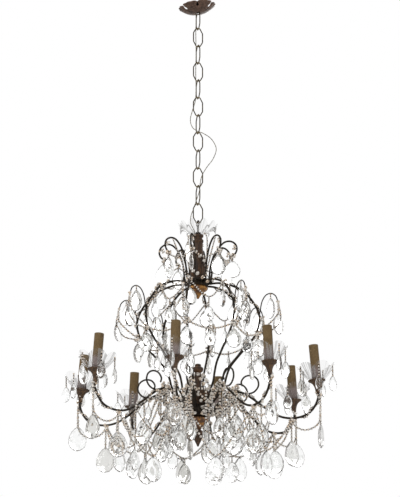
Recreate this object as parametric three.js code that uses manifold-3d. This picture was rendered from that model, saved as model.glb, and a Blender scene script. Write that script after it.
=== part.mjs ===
// An eight-light glass-drop chandelier on a twelve-link chain, from the ceiling hook to the lowest drop.
// Millimetres, +Z up. The origin is on the ceiling, at the middle of the hook plate's flat top.
import * as THREE from "three";
import { mergeVertices } from "three/addons/utils/BufferGeometryUtils.js";
import Module from "manifold-3d";

const wasm = await Module();
wasm.setup();

// Seating gap between pieces that touch, and the free play round a rod in its bore.
const SEAT_GAP = 0.3;
const BORE_PLAY = 0.4;

// The eight lights stand evenly round the axis, the first one nearly facing -Y.
const LIGHTS = 8;
const FIRST_LIGHT_ANGLE = THREE.MathUtils.degToRad(-100.3);
const LIGHT_STEP = (2 * Math.PI) / LIGHTS;

// Ceiling hook.
const PLATE_RADIUS = 22;
const PLATE_THICKNESS = 3;
const HOOK_WIRE_RADIUS = 2;
const HOOK_BEND_RADIUS = 8;
const HOOK_DEPTH = 26.9;
const TERMINAL_LENGTH = 15;
const TERMINAL_WIDTH = 14;
const TERMINAL_HEIGHT = 10.7;
const TERMINAL_SCREW_RADIUS = 2;
const TERMINAL_SCREW_DEPTH = 3;

// Chain: long octagonal links, each a quarter turn from the last.
const LINK_COUNT = 12;
const LINK_WIRE_RADIUS = 1.6;
const LINK_PITCH = 53.7;
const LINK_END_HALF_WIDTH = 5;
const LINK_HALF_WIDTH = 13.9;
const LINK_SHOULDER = 15;
const CHAIN_TURN = THREE.MathUtils.degToRad(22);

// Canopy: a pressed sheet-metal flower that rests on the shoulders of the first link.
const CANOPY_HOLE_RADIUS = 11;
const CANOPY_RIM_RADIUS = 54;
const CANOPY_RISE = 20.5;
const CANOPY_SHEET = 1.2;
const CANOPY_PETALS = 6;
const CANOPY_TILT = THREE.MathUtils.degToRad(8);
const CANOPY_KEYHOLE_RADIUS = 4.2;
const CANOPY_KEYHOLE_AT = 39;
const CANOPY_SLOT_WIDTH = 3;
const CANOPY_LOBE_NOTCH_RADIUS = 3;

// Two-core flex, from the terminal block to the top of the column.
const FLEX_RADIUS = 1.1;
const FLEX_STEPS = 44;
const FLEX_SIDES = 6;
const FLEX_END = [-10, -2];

// Hanging eye: a ring on a long rod that carries the column and the cage.
const EYE_WIRE_RADIUS = 2;
const EYE_RING_RADIUS = 8;
const ROD_RADIUS = 4;
const EYE_COLLAR_RADIUS = 8;
const EYE_COLLAR_THICKNESS = 3.5;

// Glass crown and turned column.
const EYE_TO_COLUMN = 35.7;
const COLUMN_TOP = -(HOOK_DEPTH + LINK_COUNT * LINK_PITCH + EYE_TO_COLUMN);
const COLUMN_RADIUS = 22;
const COLUMN_LENGTH = 135;
const CROWN_RADIUS = 62;
const CROWN_RISE = 20;
const CROWN_GLASS = 3.2;
const CROWN_BASE_RADIUS = 15;
const CROWN_PETALS = 10;
const FLEX_HOLE_RADIUS = 1.8;

// Upper scrolls, wired to a plate under the column.
const SCROLL_WIRE_RADIUS = 2.4;
const SCROLL_PLATE_RADIUS = 41;
const SCROLL_PLATE_THICKNESS = 5;
const SCROLL_TAIL_RADIUS = 94;
const SCROLL_TAIL_HEIGHT = 366;
const SCROLL_STEPS = 9;

// Cage: eight bowed ribs between a top plate and the arm boss, with an ear on each rib.
const CAGE_BELLY_RADIUS = 173;
const CAGE_BELLY_HEIGHT = 175;
const RIB_WIRE_RADIUS = 2.7;
const RIB_STEPS = 12;
const EAR_WIRE_RADIUS = 1.4;
const EAR_REACH = 52;
const EAR_HEIGHT = 77;
const EAR_TIP = [CAGE_BELLY_RADIUS + EAR_REACH, CAGE_BELLY_HEIGHT + 0.7 * EAR_HEIGHT];
const CAGE_PLATE_RADIUS = 30;
const CAGE_PLATE_THICKNESS = 11;
const CONE_LENGTH = 36;
const CONE_RADIUS = 28;
const CONE_SOCKET_DEPTH = 16;
const BOSS_RADIUS = 24;
const BOSS_HEIGHT = 34;
const BOSS_TOP_BELOW_LAMPS = 58;

// Lights: every height of an arm, a rib or a garland is taken from the rim of the cups.
const COLUMN_TO_LAMPS = 298;
const LAMP_LEVEL = COLUMN_TOP - COLUMN_LENGTH - COLUMN_TO_LAMPS;
const RING_RADIUS = 330;
const CANDLE_LEAN = THREE.MathUtils.degToRad(4.5);
const ARM_LOW_RADIUS = 0.782 * RING_RADIUS;
const ARM_LOW_DROP = 104;
const ARM_CREST_RADIUS = 0.312 * RING_RADIUS;
const ARM_CREST_DROP = 23;
const ARM_FOOT_DROP = 80;
const ARM_WIRE_RADIUS = 2.7;
const ARM_STEPS = 15;
const CURL_WIRE_RADIUS = 2.2;
const CUP_RADIUS = 24;
const CUP_DEPTH = 37;
const CUP_STEM_RADIUS = 5;
const CUP_BORE_PLAY = 1.1;
const CUP_RECESS_RADIUS = 15.5;
const CUP_RECESS_DEPTH = 4;
const SLEEVE_RADIUS = 13;
const SLEEVE_WALL = 1.2;
const SLEEVE_TOP = 98.5;
const HOLDER_RADIUS = 11;
const HOLDER_TOP = 88;
const SOCKET_RADIUS = 7;
const SOCKET_DEPTH = 26;

// Glass dishes and their pendants.
const DISH_RADIUS = 56;
const DISH_RISE = 36;
const DISH_GLASS = 3;
const DISH_PETALS = 6;
const DISH_PENDANTS = 5;
const PENDANT_RADIUS = 50;
const PENDANT_STRING = 34;
const PENDANT_LENGTH = 46;
const PENDANT_WIDTH = 25;
const PENDANT_THICKNESS = 10;
const STRING_RADIUS = 1.8;
const STRING_SIDES = 3;

// Almond drops on the garlands.
const DROP_LENGTH = 68;
const DROP_WIDTH = 50;
const DROP_THICKNESS = 14;
const UPPER_DROP_LENGTH = 60;
const UPPER_DROP_WIDTH = 42;
const GAP_DROP_RADIUS = 0.66 * RING_RADIUS;
const GAP_SWAG_LOW = 240;
// Each deep swag's share of that, from the first gap on: they are hung by hand, deepest at the front.
const GAP_SWAG_SHARES = [1, 0.86, 0.72, 0.69, 0.69, 0.71, 0.76, 0.98];
const BASKET_RADIUS = 104;
const BASKET_DROP = 34;
const ROSETTE_RADIUS = 7;
const ROSETTE_THICKNESS = 5;

// Turned spindle and finial.
const SPINDLE_HEIGHT = 116.7;
const SPINDLE_BULGE_RADIUS = 33;
const TIE_ROD_RADIUS = 4;
const TIE_ROD_REACH = 78;
const FINIAL_LENGTH = 81;
const BOWL_RADIUS = 28;
const BOWL_LIP_DROP = 5;

const finish = (color, metalness, roughness, opacity = 1) =>
  new THREE.MeshStandardMaterial({
    color,
    metalness,
    roughness,
    opacity,
    transparent: opacity < 1,
  });
const iron = finish(0x2a211b, 0.7, 0.55);
const chainBronze = finish(0x4a4335, 0.8, 0.5);
const sheetMetal = finish(0x4b3226, 0.6, 0.6);
const wood = finish(0x4a2f20, 0, 0.6);
const gilding = finish(0x96601f, 0.7, 0.45);
const glass = finish(0xe8eaec, 0, 0.08, 0.45);
const card = finish(0x736441, 0, 0.8);
const cable = finish(0xb4ad9c, 0, 0.6);
const porcelain = finish(0xe4e0d6, 0, 0.35);

// A closed mesh geometry as a solid that can be joined and cut.
function solidOf(geometry) {
  const bare = geometry.clone();
  bare.deleteAttribute("normal");
  bare.deleteAttribute("uv");
  const merged = mergeVertices(bare, 1e-4);
  return new wasm.Manifold(
    new wasm.Mesh({
      numProp: 3,
      vertProperties: merged.attributes.position.array,
      triVerts: new Uint32Array(merged.index.array),
    }),
  );
}

function geometryOf(solid) {
  const mesh = solid.getMesh();
  return new THREE.BufferGeometry()
    .setAttribute("position", new THREE.BufferAttribute(mesh.vertProperties, 3))
    .setIndex(new THREE.BufferAttribute(mesh.triVerts, 1));
}

function joined(geometries) {
  const solids = geometries.map(solidOf);
  return geometryOf(solids.reduce((whole, piece) => whole.add(piece)));
}

function cut(geometry, tools) {
  return geometryOf(tools.reduce((whole, tool) => whole.subtract(solidOf(tool)), solidOf(geometry)));
}

// A profile of [radius, height] pairs turned about Z. It starts and ends on the axis or closes on itself.
function turned(profile, segments) {
  const points = profile.map(([radius, height]) => new THREE.Vector2(radius, height));
  return new THREE.LatheGeometry(points, segments).rotateX(Math.PI / 2);
}

// The same for a piece with a bore right through it, where the profile's first point is repeated at its end.
function turnedRing(profile, segments) {
  return turned([...profile, profile[0]], segments);
}

function roundSection(radius, sides) {
  const points = [];
  for (let i = 0; i < sides; i++) {
    const angle = (2 * Math.PI * (i + 0.5)) / sides;
    points.push(new THREE.Vector2(radius * Math.cos(angle), radius * Math.sin(angle)));
  }
  return new THREE.Shape(points);
}

// A round wire along a smooth curve through [x, y, z] points.
function wire(points, radius, steps, sides) {
  const path = new THREE.CatmullRomCurve3(points.map((p) => new THREE.Vector3(...p)));
  return new THREE.ExtrudeGeometry(roundSection(radius, sides), { steps, extrudePath: path });
}

// A wire bent in the XZ plane, from [x, z] pairs.
function flatWire(pairs, radius, steps, sides) {
  return wire(pairs.map(([x, z]) => [x, 0, z]), radius, steps, sides);
}

// The corners of a flat wire's centre line as [radius, height] pairs, where its section is at full size.
function flatWireCorners(pairs, steps) {
  const path = new THREE.CatmullRomCurve3(pairs.map(([x, z]) => new THREE.Vector3(x, 0, z)));
  return path.getSpacedPoints(steps).map((p) => [p.x, p.z]);
}

function onAngle(radius, angle, height) {
  return [radius * Math.cos(angle), radius * Math.sin(angle), height];
}

function lightAngle(index) {
  return FIRST_LIGHT_ANGLE + index * LIGHT_STEP;
}

// Copies of one geometry turned to each of the eight lights.
function roundTheLights(geometry) {
  const copies = [];
  for (let i = 0; i < LIGHTS; i++) copies.push(geometry.clone().rotateZ(lightAngle(i)));
  return copies;
}

function hookPlate() {
  const disc = [[0, -PLATE_THICKNESS], [PLATE_RADIUS, -PLATE_THICKNESS], [PLATE_RADIUS, 0], [0, 0]];
  const plate = turned(disc, 18);
  const bendCentre = -HOOK_DEPTH + HOOK_BEND_RADIUS;
  const bend = [];
  for (let i = 0; i <= 6; i++) {
    const angle = Math.PI + (i * Math.PI) / 6;
    bend.push([HOOK_BEND_RADIUS * Math.cos(angle), bendCentre + HOOK_BEND_RADIUS * Math.sin(angle)]);
  }
  const shank = [
    [0, -PLATE_THICKNESS / 2],
    [0, -PLATE_THICKNESS - 2],
    [-HOOK_BEND_RADIUS * 0.7, bendCentre + HOOK_BEND_RADIUS + 1],
  ];
  const tip = [[HOOK_BEND_RADIUS, bendCentre + 5]];
  const hook = flatWire([...shank, ...bend, ...tip], HOOK_WIRE_RADIUS, 13, 6);
  return joined([plate, hook.rotateZ(CHAIN_TURN)]);
}

function terminalBlock() {
  const body = new THREE.BoxGeometry(TERMINAL_LENGTH, TERMINAL_WIDTH, TERMINAL_HEIGHT);
  const screwHole = new THREE.CylinderGeometry(
    TERMINAL_SCREW_RADIUS,
    TERMINAL_SCREW_RADIUS,
    2 * TERMINAL_SCREW_DEPTH,
    8,
  ).rotateZ(Math.PI / 2);
  const screwHoles = [-1, 1].map((side) =>
    screwHole.clone().translate(-TERMINAL_LENGTH / 2, (side * TERMINAL_WIDTH) / 4, 0),
  );
  return cut(body, screwHoles);
}

// Distance between the centres of a link's two end wires.
const LINK_LENGTH = LINK_PITCH + 2 * LINK_WIRE_RADIUS + SEAT_GAP;

function chainLink() {
  const half = LINK_LENGTH / 2;
  const side = half - LINK_SHOULDER;
  const quarter = [
    [LINK_END_HALF_WIDTH, half],
    [LINK_HALF_WIDTH, side],
  ];
  const corners = [
    ...quarter,
    ...quarter.map(([x, z]) => [x, -z]).reverse(),
    ...quarter.map(([x, z]) => [-x, -z]),
    ...quarter.map(([x, z]) => [-x, z]).reverse(),
  ];
  return closedWire(corners.map(([x, z]) => new THREE.Vector3(x, 0, z)), LINK_WIRE_RADIUS, 6);
}

// A round wire closed into a flat loop in the XZ plane, with one ring of points at each corner.
function closedWire(corners, radius, sides) {
  const positions = [];
  const indices = [];
  const across = new THREE.Vector3(0, 1, 0);
  corners.forEach((corner, i) => {
    const before = corners[(i + corners.length - 1) % corners.length];
    const after = corners[(i + 1) % corners.length];
    const arriving = new THREE.Vector3().subVectors(corner, before).normalize();
    const leaving = new THREE.Vector3().subVectors(after, corner).normalize();
    const along = new THREE.Vector3().addVectors(arriving, leaving).normalize();
    const mitre = 1 / along.dot(leaving);
    const outward = new THREE.Vector3().crossVectors(along, across);
    for (let j = 0; j < sides; j++) {
      const angle = (2 * Math.PI * (j + 0.5)) / sides;
      const point = corner.clone();
      point.addScaledVector(outward, mitre * radius * Math.cos(angle));
      point.addScaledVector(across, radius * Math.sin(angle));
      positions.push(...point);
      const nextRing = ((i + 1) % corners.length) * sides;
      const nextSide = (j + 1) % sides;
      indices.push(i * sides + j, nextRing + j, i * sides + nextSide);
      indices.push(i * sides + nextSide, nextRing + j, nextRing + nextSide);
    }
  });
  const loop = new THREE.BufferGeometry().setIndex(indices);
  return loop.setAttribute("position", new THREE.Float32BufferAttribute(positions, 3));
}

// The height of the centre of a link's top wire. Link 0 hangs on the hook.
const FIRST_LINK_TOP = -HOOK_DEPTH + HOOK_WIRE_RADIUS + LINK_WIRE_RADIUS + SEAT_GAP;
const linkTop = (index) => FIRST_LINK_TOP - index * LINK_PITCH;
const linkTurn = (index) => CHAIN_TURN + (index % 2 === 0 ? Math.PI / 2 : 0);

function canopy() {
  const sheet = (height) => [
    [CANOPY_HOLE_RADIUS, height],
    [CANOPY_HOLE_RADIUS + 13, height + CANOPY_RISE * 0.08],
    [CANOPY_RIM_RADIUS * 0.78, height + CANOPY_RISE * 0.45],
    [CANOPY_RIM_RADIUS, height + CANOPY_RISE],
  ];
  const dish = turnedRing([...sheet(0), ...sheet(CANOPY_SHEET).reverse()], 3 * CANOPY_PETALS);
  const height = 3 * CANOPY_RISE;
  const keyhole = new THREE.CylinderGeometry(CANOPY_KEYHOLE_RADIUS, CANOPY_KEYHOLE_RADIUS, height, 6)
    .rotateX(Math.PI / 2)
    .translate(CANOPY_KEYHOLE_AT, 0, 0);
  const slot = new THREE.BoxGeometry(CANOPY_RIM_RADIUS, CANOPY_SLOT_WIDTH, height);
  slot.translate(CANOPY_KEYHOLE_AT + CANOPY_RIM_RADIUS / 2, 0, 0);
  const notch = new THREE.CylinderGeometry(CANOPY_LOBE_NOTCH_RADIUS, CANOPY_LOBE_NOTCH_RADIUS, height, 5)
    .rotateX(Math.PI / 2)
    .translate(CANOPY_RIM_RADIUS, 0, 0);
  const tools = [];
  const petalStep = (2 * Math.PI) / CANOPY_PETALS;
  for (let i = 0; i < CANOPY_PETALS; i++) {
    tools.push(keyhole.clone().rotateZ(i * petalStep), slot.clone().rotateZ(i * petalStep));
    tools.push(notch.clone().rotateZ((i + 0.36) * petalStep), notch.clone().rotateZ((i + 0.64) * petalStep));
  }
  return cut(dish, tools);
}

// The depth below the first link's top wire at which its shoulders fill the canopy's hole.
function canopySeatDepth() {
  const slope = (LINK_HALF_WIDTH - LINK_END_HALF_WIDTH) / LINK_SHOULDER;
  const wireReach = LINK_WIRE_RADIUS * Math.hypot(1, slope);
  return (CANOPY_HOLE_RADIUS - SEAT_GAP - wireReach - LINK_END_HALF_WIDTH) / slope;
}

// A point of the flex at a depth counted in links from the hook's bend.
const FLEX_START = HOOK_DEPTH - 2 * HOOK_WIRE_RADIUS + 0.1;
const besideLink = (x, y, links) => [x, y, -FLEX_START - LINK_PITCH * links];
const FLEX_ROUTE = [
  [-15, 3, -14.3],
  [-14.4, 3, -19],
  [-9.5, 2.9, -25],
  [-6.3, 2.7, -31],
  besideLink(-6, 2.5, 0.354),
  besideLink(-6.4, 2.6, 1.248),
  besideLink(-5.8, 2.6, 2.365),
  besideLink(-6.6, 2.6, 3.575),
  besideLink(-6, 2.7, 4.600),
  besideLink(-8, 3, 5.196),
  besideLink(-16, 5, 5.717),
  besideLink(-22, 6, 6.220),
  besideLink(-16, -8, 6.760),
  besideLink(-3, -19, 7.039),
  besideLink(15, -17, 7.169),
  besideLink(38, -9, 7.430),
  besideLink(52, -3, 7.933),
  besideLink(43, -3, 8.510),
  besideLink(25, -4, 8.994),
  besideLink(11, -4, 9.479),
  besideLink(6, -2.5, 9.926),
  besideLink(4.5, -2, 10.261),
  besideLink(-4.5, 2, 10.801),
  besideLink(-12, 4, 11.229),
  besideLink(-20, 4, 11.676),
  besideLink(-20, 2, 12.086),
  [-13, -1, COLUMN_TOP + 18],
  [...FLEX_END, COLUMN_TOP + 10],
];

function flexCord() {
  return wire(
    [...FLEX_ROUTE, [...FLEX_END, COLUMN_TOP + SEAT_GAP]],
    FLEX_RADIUS,
    FLEX_STEPS,
    FLEX_SIDES,
  );
}

const EYE_TOP = linkTop(LINK_COUNT - 1) - LINK_LENGTH + LINK_WIRE_RADIUS + EYE_WIRE_RADIUS + SEAT_GAP;
const SCROLL_PLATE_TOP = COLUMN_TOP - COLUMN_LENGTH - SEAT_GAP;
const CAGE_PLATE_TOP = SCROLL_PLATE_TOP - SCROLL_PLATE_THICKNESS - SEAT_GAP;
const CONE_TOP = CAGE_PLATE_TOP - CAGE_PLATE_THICKNESS - SEAT_GAP;
const ROD_BORE = ROD_RADIUS + BORE_PLAY;
const CROWN_BASE_TOP = COLUMN_TOP + SEAT_GAP + CROWN_GLASS;

function hangingEye() {
  const centre = EYE_TOP - EYE_RING_RADIUS;
  const ring = new THREE.TorusGeometry(EYE_RING_RADIUS, EYE_WIRE_RADIUS, 5, 12)
    .rotateX(Math.PI / 2)
    .rotateZ(linkTurn(LINK_COUNT))
    .translate(0, 0, centre);
  const collar = CROWN_BASE_TOP + SEAT_GAP;
  const rodBottom = CONE_TOP - CONE_SOCKET_DEPTH + 1;
  const rod = turned(
    [
      [0, rodBottom],
      [ROD_RADIUS, rodBottom],
      [ROD_RADIUS, collar],
      [EYE_COLLAR_RADIUS, collar],
      [EYE_COLLAR_RADIUS, collar + EYE_COLLAR_THICKNESS],
      [EYE_WIRE_RADIUS, collar + EYE_COLLAR_THICKNESS + 2],
      [EYE_WIRE_RADIUS, centre - EYE_RING_RADIUS],
      [0, centre - EYE_RING_RADIUS],
    ],
    8,
  );
  return joined([ring, rod]);
}

// A flared glass dish with a scalloped rim: its wall swings out at each petal and its rim dips between them.
function petalDish(boreRadius, baseRadius, rimRadius, rise, wall, petals, ringsUp) {
  const around = petals * 2;
  const positions = [];
  const indices = [];
  const rings = [];
  const pushRing = (radius, height, scallop) => {
    rings.push(positions.length / 3);
    for (let i = 0; i < around; i++) {
      const angle = (Math.PI * i) / petals;
      const swing = i % 2 === 0 ? 1 + scallop * 0.05 : 1 - scallop * 0.05;
      const dip = i % 2 === 0 ? 0 : -scallop * rise * 0.16;
      positions.push(...onAngle(radius * swing, angle, height + dip));
    }
  };
  const flare = (t) => [baseRadius + (rimRadius / 1.05 - baseRadius) * t ** 0.8, rise * t ** 1.3];
  pushRing(boreRadius, 0, 0);
  for (let i = 0; i <= ringsUp; i++) {
    const [radius, height] = flare(i / ringsUp);
    pushRing(radius, height, i / ringsUp);
  }
  for (let i = ringsUp - 1; i > 0; i--) {
    const [radius, height] = flare(i / ringsUp);
    pushRing(radius - wall * 0.5, height + wall, i / ringsUp);
  }
  pushRing(baseRadius * 0.9, wall, 0);
  pushRing(boreRadius, wall, 0);
  rings.forEach((start, k) => {
    const next = rings[(k + 1) % rings.length];
    for (let i = 0; i < around; i++) {
      const j = (i + 1) % around;
      indices.push(start + i, start + j, next + j);
      indices.push(start + i, next + j, next + i);
    }
  });
  const dish = new THREE.BufferGeometry().setIndex(indices);
  return dish.setAttribute("position", new THREE.Float32BufferAttribute(positions, 3));
}

function crownGlass() {
  const [base, rim] = [CROWN_BASE_RADIUS, CROWN_RADIUS];
  const dish = petalDish(ROD_BORE, base, rim, CROWN_RISE, CROWN_GLASS, CROWN_PETALS, 2);
  const hole = new THREE.CylinderGeometry(FLEX_HOLE_RADIUS, FLEX_HOLE_RADIUS, 4 * CROWN_GLASS, 8);
  return cut(dish, [hole.rotateX(Math.PI / 2).translate(...FLEX_END, 0)]);
}

function upperColumn() {
  const bottom = -COLUMN_LENGTH;
  const shares = [
    [0.705, 0],
    [0.705, 0.044],
    [0.568, 0.067],
    [0.568, 0.096],
    [0.727, 0.119],
    [0.727, 0.156],
    [0.591, 0.185],
    [0.659, 0.333],
    [0.818, 0.556],
    [0.977, 0.756],
    [1, 0.859],
    [0.773, 0.933],
    [0.864, 1],
  ];
  const outline = shares.map(([out, down]) => [COLUMN_RADIUS * out, bottom * down]);
  return turnedRing([[ROD_BORE, 0], [ROD_BORE, bottom], ...outline.reverse()], 12);
}

// A [radius, height] pair with the height counted from the rims of the cups.
const fromLamps = (radius, height) => [radius, LAMP_LEVEL + height];

const SCROLL_FOOT = SCROLL_PLATE_TOP - SCROLL_PLATE_THICKNESS / 2;
const SCROLL_RISE = LAMP_LEVEL + SCROLL_TAIL_HEIGHT - SCROLL_FOOT;
const curled = (share, rise) => [SCROLL_TAIL_RADIUS * share, SCROLL_FOOT + SCROLL_RISE * rise];
const SCROLL_ROUTE = [
  [SCROLL_PLATE_RADIUS - 4, SCROLL_FOOT],
  curled(0.415, 0.237),
  curled(0.436, 0.576),
  curled(0.511, 0.986),
  curled(0.638, 1.367),
  curled(0.819, 1.593),
  curled(1, 1.607),
  curled(1.138, 1.48),
  curled(1.181, 1.268),
  curled(1.106, 1.056),
  curled(1, 1),
];
const SCROLL_TIE = flatWireCorners(SCROLL_ROUTE, SCROLL_STEPS)[SCROLL_STEPS - 1];

function scrollCrown() {
  const plate = turnedRing(
    [
      [ROD_BORE, -SCROLL_PLATE_THICKNESS],
      [SCROLL_PLATE_RADIUS, -SCROLL_PLATE_THICKNESS],
      [SCROLL_PLATE_RADIUS, 0],
      [ROD_BORE, 0],
    ],
    12,
  ).translate(0, 0, SCROLL_PLATE_TOP);
  const scroll = flatWire(SCROLL_ROUTE, SCROLL_WIRE_RADIUS, SCROLL_STEPS, 5);
  return joined([plate, ...roundTheLights(scroll)]);
}

const BOSS_TOP = LAMP_LEVEL - BOSS_TOP_BELOW_LAMPS;
const CAGE_SHOULDER = CAGE_PLATE_TOP - CAGE_PLATE_THICKNESS / 2 + 2;
const CAGE_BELLY = LAMP_LEVEL + CAGE_BELLY_HEIGHT;
// A point of a rib: its share of the belly's radius, and how far it is towards the shoulder or, below 0, the boss.
const bowed = (share, way) => [
  CAGE_BELLY_RADIUS * share,
  CAGE_BELLY + way * (way > 0 ? CAGE_SHOULDER - CAGE_BELLY : CAGE_BELLY - BOSS_TOP + 8),
];
const RIB_ROUTE = [
  [CAGE_PLATE_RADIUS - 6, CAGE_PLATE_TOP - CAGE_PLATE_THICKNESS / 2],
  [CAGE_BELLY_RADIUS * 0.358, CAGE_SHOULDER],
  bowed(0.566, 0.913),
  bowed(0.74, 0.764),
  bowed(0.896, 0.483),
  bowed(0.983, 0.219),
  bowed(1, 0.0),
  bowed(0.948, -0.145),
  bowed(0.809, -0.286),
  bowed(0.647, -0.419),
  bowed(0.52, -0.535),
  bowed(0.462, -0.643),
  bowed(0.428, -0.734),
  bowed(0.347, -0.834),
  bowed(0.254, -0.925),
  [BOSS_RADIUS - 6, BOSS_TOP - 8],
];
const RIB_CORNERS = flatWireCorners(RIB_ROUTE, RIB_STEPS);
const RIB_TIE = RIB_CORNERS.reduce((widest, corner) => (corner[0] > widest[0] ? corner : widest));

const earAt = (reach, rise) =>
  fromLamps(CAGE_BELLY_RADIUS + EAR_REACH * reach, CAGE_BELLY_HEIGHT + EAR_HEIGHT * rise);

function cageFrame() {
  const plate = turnedRing(
    [
      [ROD_BORE, -CAGE_PLATE_THICKNESS],
      [CAGE_PLATE_RADIUS, -CAGE_PLATE_THICKNESS],
      [CAGE_PLATE_RADIUS, 0],
      [ROD_BORE, 0],
    ],
    12,
  ).translate(0, 0, CAGE_PLATE_TOP);
  const boss = turnedRing(
    [
      [TIE_ROD_RADIUS + BORE_PLAY, -BOSS_HEIGHT],
      [BOSS_RADIUS, -BOSS_HEIGHT],
      [BOSS_RADIUS, 0],
      [TIE_ROD_RADIUS + BORE_PLAY, 0],
    ],
    2 * LIGHTS,
  )
    .rotateZ(FIRST_LIGHT_ANGLE + LIGHT_STEP / 4)
    .translate(0, 0, BOSS_TOP);
  const rib = flatWire(RIB_ROUTE, RIB_WIRE_RADIUS, RIB_STEPS, 5);
  const ear = flatWire(
    [
      earAt(-0.02, 0.04),
      earAt(0.06, 0.4),
      earAt(0.17, 0.74),
      earAt(0.38, 0.95),
      earAt(0.65, 1),
      earAt(0.88, 0.9),
      fromLamps(...EAR_TIP),
    ],
    EAR_WIRE_RADIUS,
    5,
    4,
  );
  return joined([plate, boss, ...roundTheLights(rib), ...roundTheLights(ear)]);
}

function gildedCone() {
  return turned(
    [
      [0, -CONE_LENGTH],
      [CONE_RADIUS * 0.5, -CONE_LENGTH * 0.5],
      [CONE_RADIUS, -CONE_LENGTH * 0.22],
      [CONE_RADIUS, 0],
      [ROD_BORE, 0],
      [ROD_BORE, -CONE_SOCKET_DEPTH],
      [0, -CONE_SOCKET_DEPTH],
    ],
    12,
  );
}

// The candle's own axis: its frame stands on the middle of the cup's rim and leans towards the column.
function candleFrame() {
  const frame = new THREE.Group();
  frame.position.set(RING_RADIUS, 0, LAMP_LEVEL);
  frame.rotation.y = -CANDLE_LEAN;
  return frame;
}

const alongCandle = (height) => [
  RING_RADIUS - height * Math.sin(CANDLE_LEAN),
  LAMP_LEVEL + height * Math.cos(CANDLE_LEAN),
];

const BOSS_FLAT = BOSS_RADIUS * Math.cos(Math.PI / (2 * LIGHTS));

const along = (share, height) => fromLamps(RING_RADIUS * share, height);
const ARM_ROUTE = [
  alongCandle(4),
  alongCandle(-20),
  alongCandle(-46),
  along(0.982, -72),
  along(0.933, -91),
  along(0.864, -101),
  fromLamps(ARM_LOW_RADIUS, -ARM_LOW_DROP),
  along(0.7, -99),
  along(0.624, -86),
  along(0.545, -67),
  along(0.464, -46),
  along(0.385, -29),
  fromLamps(ARM_CREST_RADIUS, -ARM_CREST_DROP),
  along(0.248, -31),
  along(0.188, -52),
  along(0.136, -73),
  fromLamps(BOSS_FLAT + SEAT_GAP + 6, -ARM_FOOT_DROP),
  fromLamps(BOSS_FLAT + SEAT_GAP, -ARM_FOOT_DROP),
];
const ARM_CORNERS = flatWireCorners(ARM_ROUTE, ARM_STEPS);
const ARM_TIE = ARM_CORNERS.reduce((lowest, corner) => (corner[1] < lowest[1] ? corner : lowest));

function arm() {
  const bar = flatWire(ARM_ROUTE, ARM_WIRE_RADIUS, ARM_STEPS, 5);
  const curl = flatWire(
    [
      along(0.358, -26),
      along(0.415, -31),
      along(0.476, -26),
      along(0.512, -9),
      along(0.5, 10),
      along(0.452, 20),
      along(0.397, 17),
      along(0.367, 3),
      along(0.376, -9),
    ],
    CURL_WIRE_RADIUS,
    7,
    4,
  );
  const holder = turned(
    [
      [0, -CUP_RECESS_DEPTH + SEAT_GAP],
      [HOLDER_RADIUS, -CUP_RECESS_DEPTH + SEAT_GAP],
      [HOLDER_RADIUS, HOLDER_TOP],
      [SOCKET_RADIUS, HOLDER_TOP],
      [SOCKET_RADIUS, HOLDER_TOP - SOCKET_DEPTH],
      [0, HOLDER_TOP - SOCKET_DEPTH],
    ],
    6,
  )
    .rotateY(-CANDLE_LEAN)
    .translate(RING_RADIUS, 0, LAMP_LEVEL);
  return joined([bar, curl, holder]);
}

function cup() {
  const bore = ARM_WIRE_RADIUS + CUP_BORE_PLAY;
  return turnedRing(
    [
      [bore, -CUP_DEPTH],
      [CUP_STEM_RADIUS, -CUP_DEPTH],
      [CUP_RADIUS * 0.42, -CUP_DEPTH * 0.42],
      [CUP_RADIUS, -3],
      [CUP_RADIUS, 0],
      [CUP_RECESS_RADIUS, 0],
      [CUP_RECESS_RADIUS, -CUP_RECESS_DEPTH],
      [bore, -CUP_RECESS_DEPTH],
    ],
    8,
  );
}

// A flat almond drop on its bead string, as one turned form whose widest ring is pressed thin. The top of
// the string is at the origin.
function pendant(stringLength, length, width, thickness, sides) {
  const form = turned(
    [
      [0, -stringLength - length],
      [width / 2, -stringLength - length * 0.6],
      [STRING_RADIUS, -stringLength],
      [STRING_RADIUS, 0],
      [0, 0],
    ],
    sides,
  );
  const corners = form.attributes.position;
  for (let i = 0; i < corners.count; i++) {
    const reach = Math.hypot(corners.getX(i), corners.getY(i));
    if (reach > 2 * STRING_RADIUS) corners.setX(i, (corners.getX(i) * thickness) / width);
  }
  return form;
}

function glassDish() {
  const bore = SLEEVE_RADIUS + BORE_PLAY + 0.6;
  const dish = petalDish(bore, CUP_RADIUS, DISH_RADIUS, DISH_RISE, DISH_GLASS, DISH_PETALS, 2);
  const hang = DISH_RISE * 0.78;
  const pieces = [dish];
  for (let i = 0; i < DISH_PENDANTS; i++) {
    const angle = (2 * Math.PI * i) / DISH_PENDANTS;
    const drop = pendant(PENDANT_STRING, PENDANT_LENGTH, PENDANT_WIDTH, PENDANT_THICKNESS, 4);
    pieces.push(drop.rotateZ(angle).translate(...onAngle(PENDANT_RADIUS, angle, hang)));
  }
  return joined(pieces);
}

function sleeve() {
  const inside = SLEEVE_RADIUS - SLEEVE_WALL;
  const bottom = -CUP_RECESS_DEPTH + SEAT_GAP;
  return turnedRing(
    [
      [inside, bottom],
      [SLEEVE_RADIUS, bottom],
      [SLEEVE_RADIUS, SLEEVE_TOP],
      [inside, SLEEVE_TOP],
    ],
    10,
  );
}

const SPINDLE_BOTTOM = BOSS_TOP + SEAT_GAP;

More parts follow.
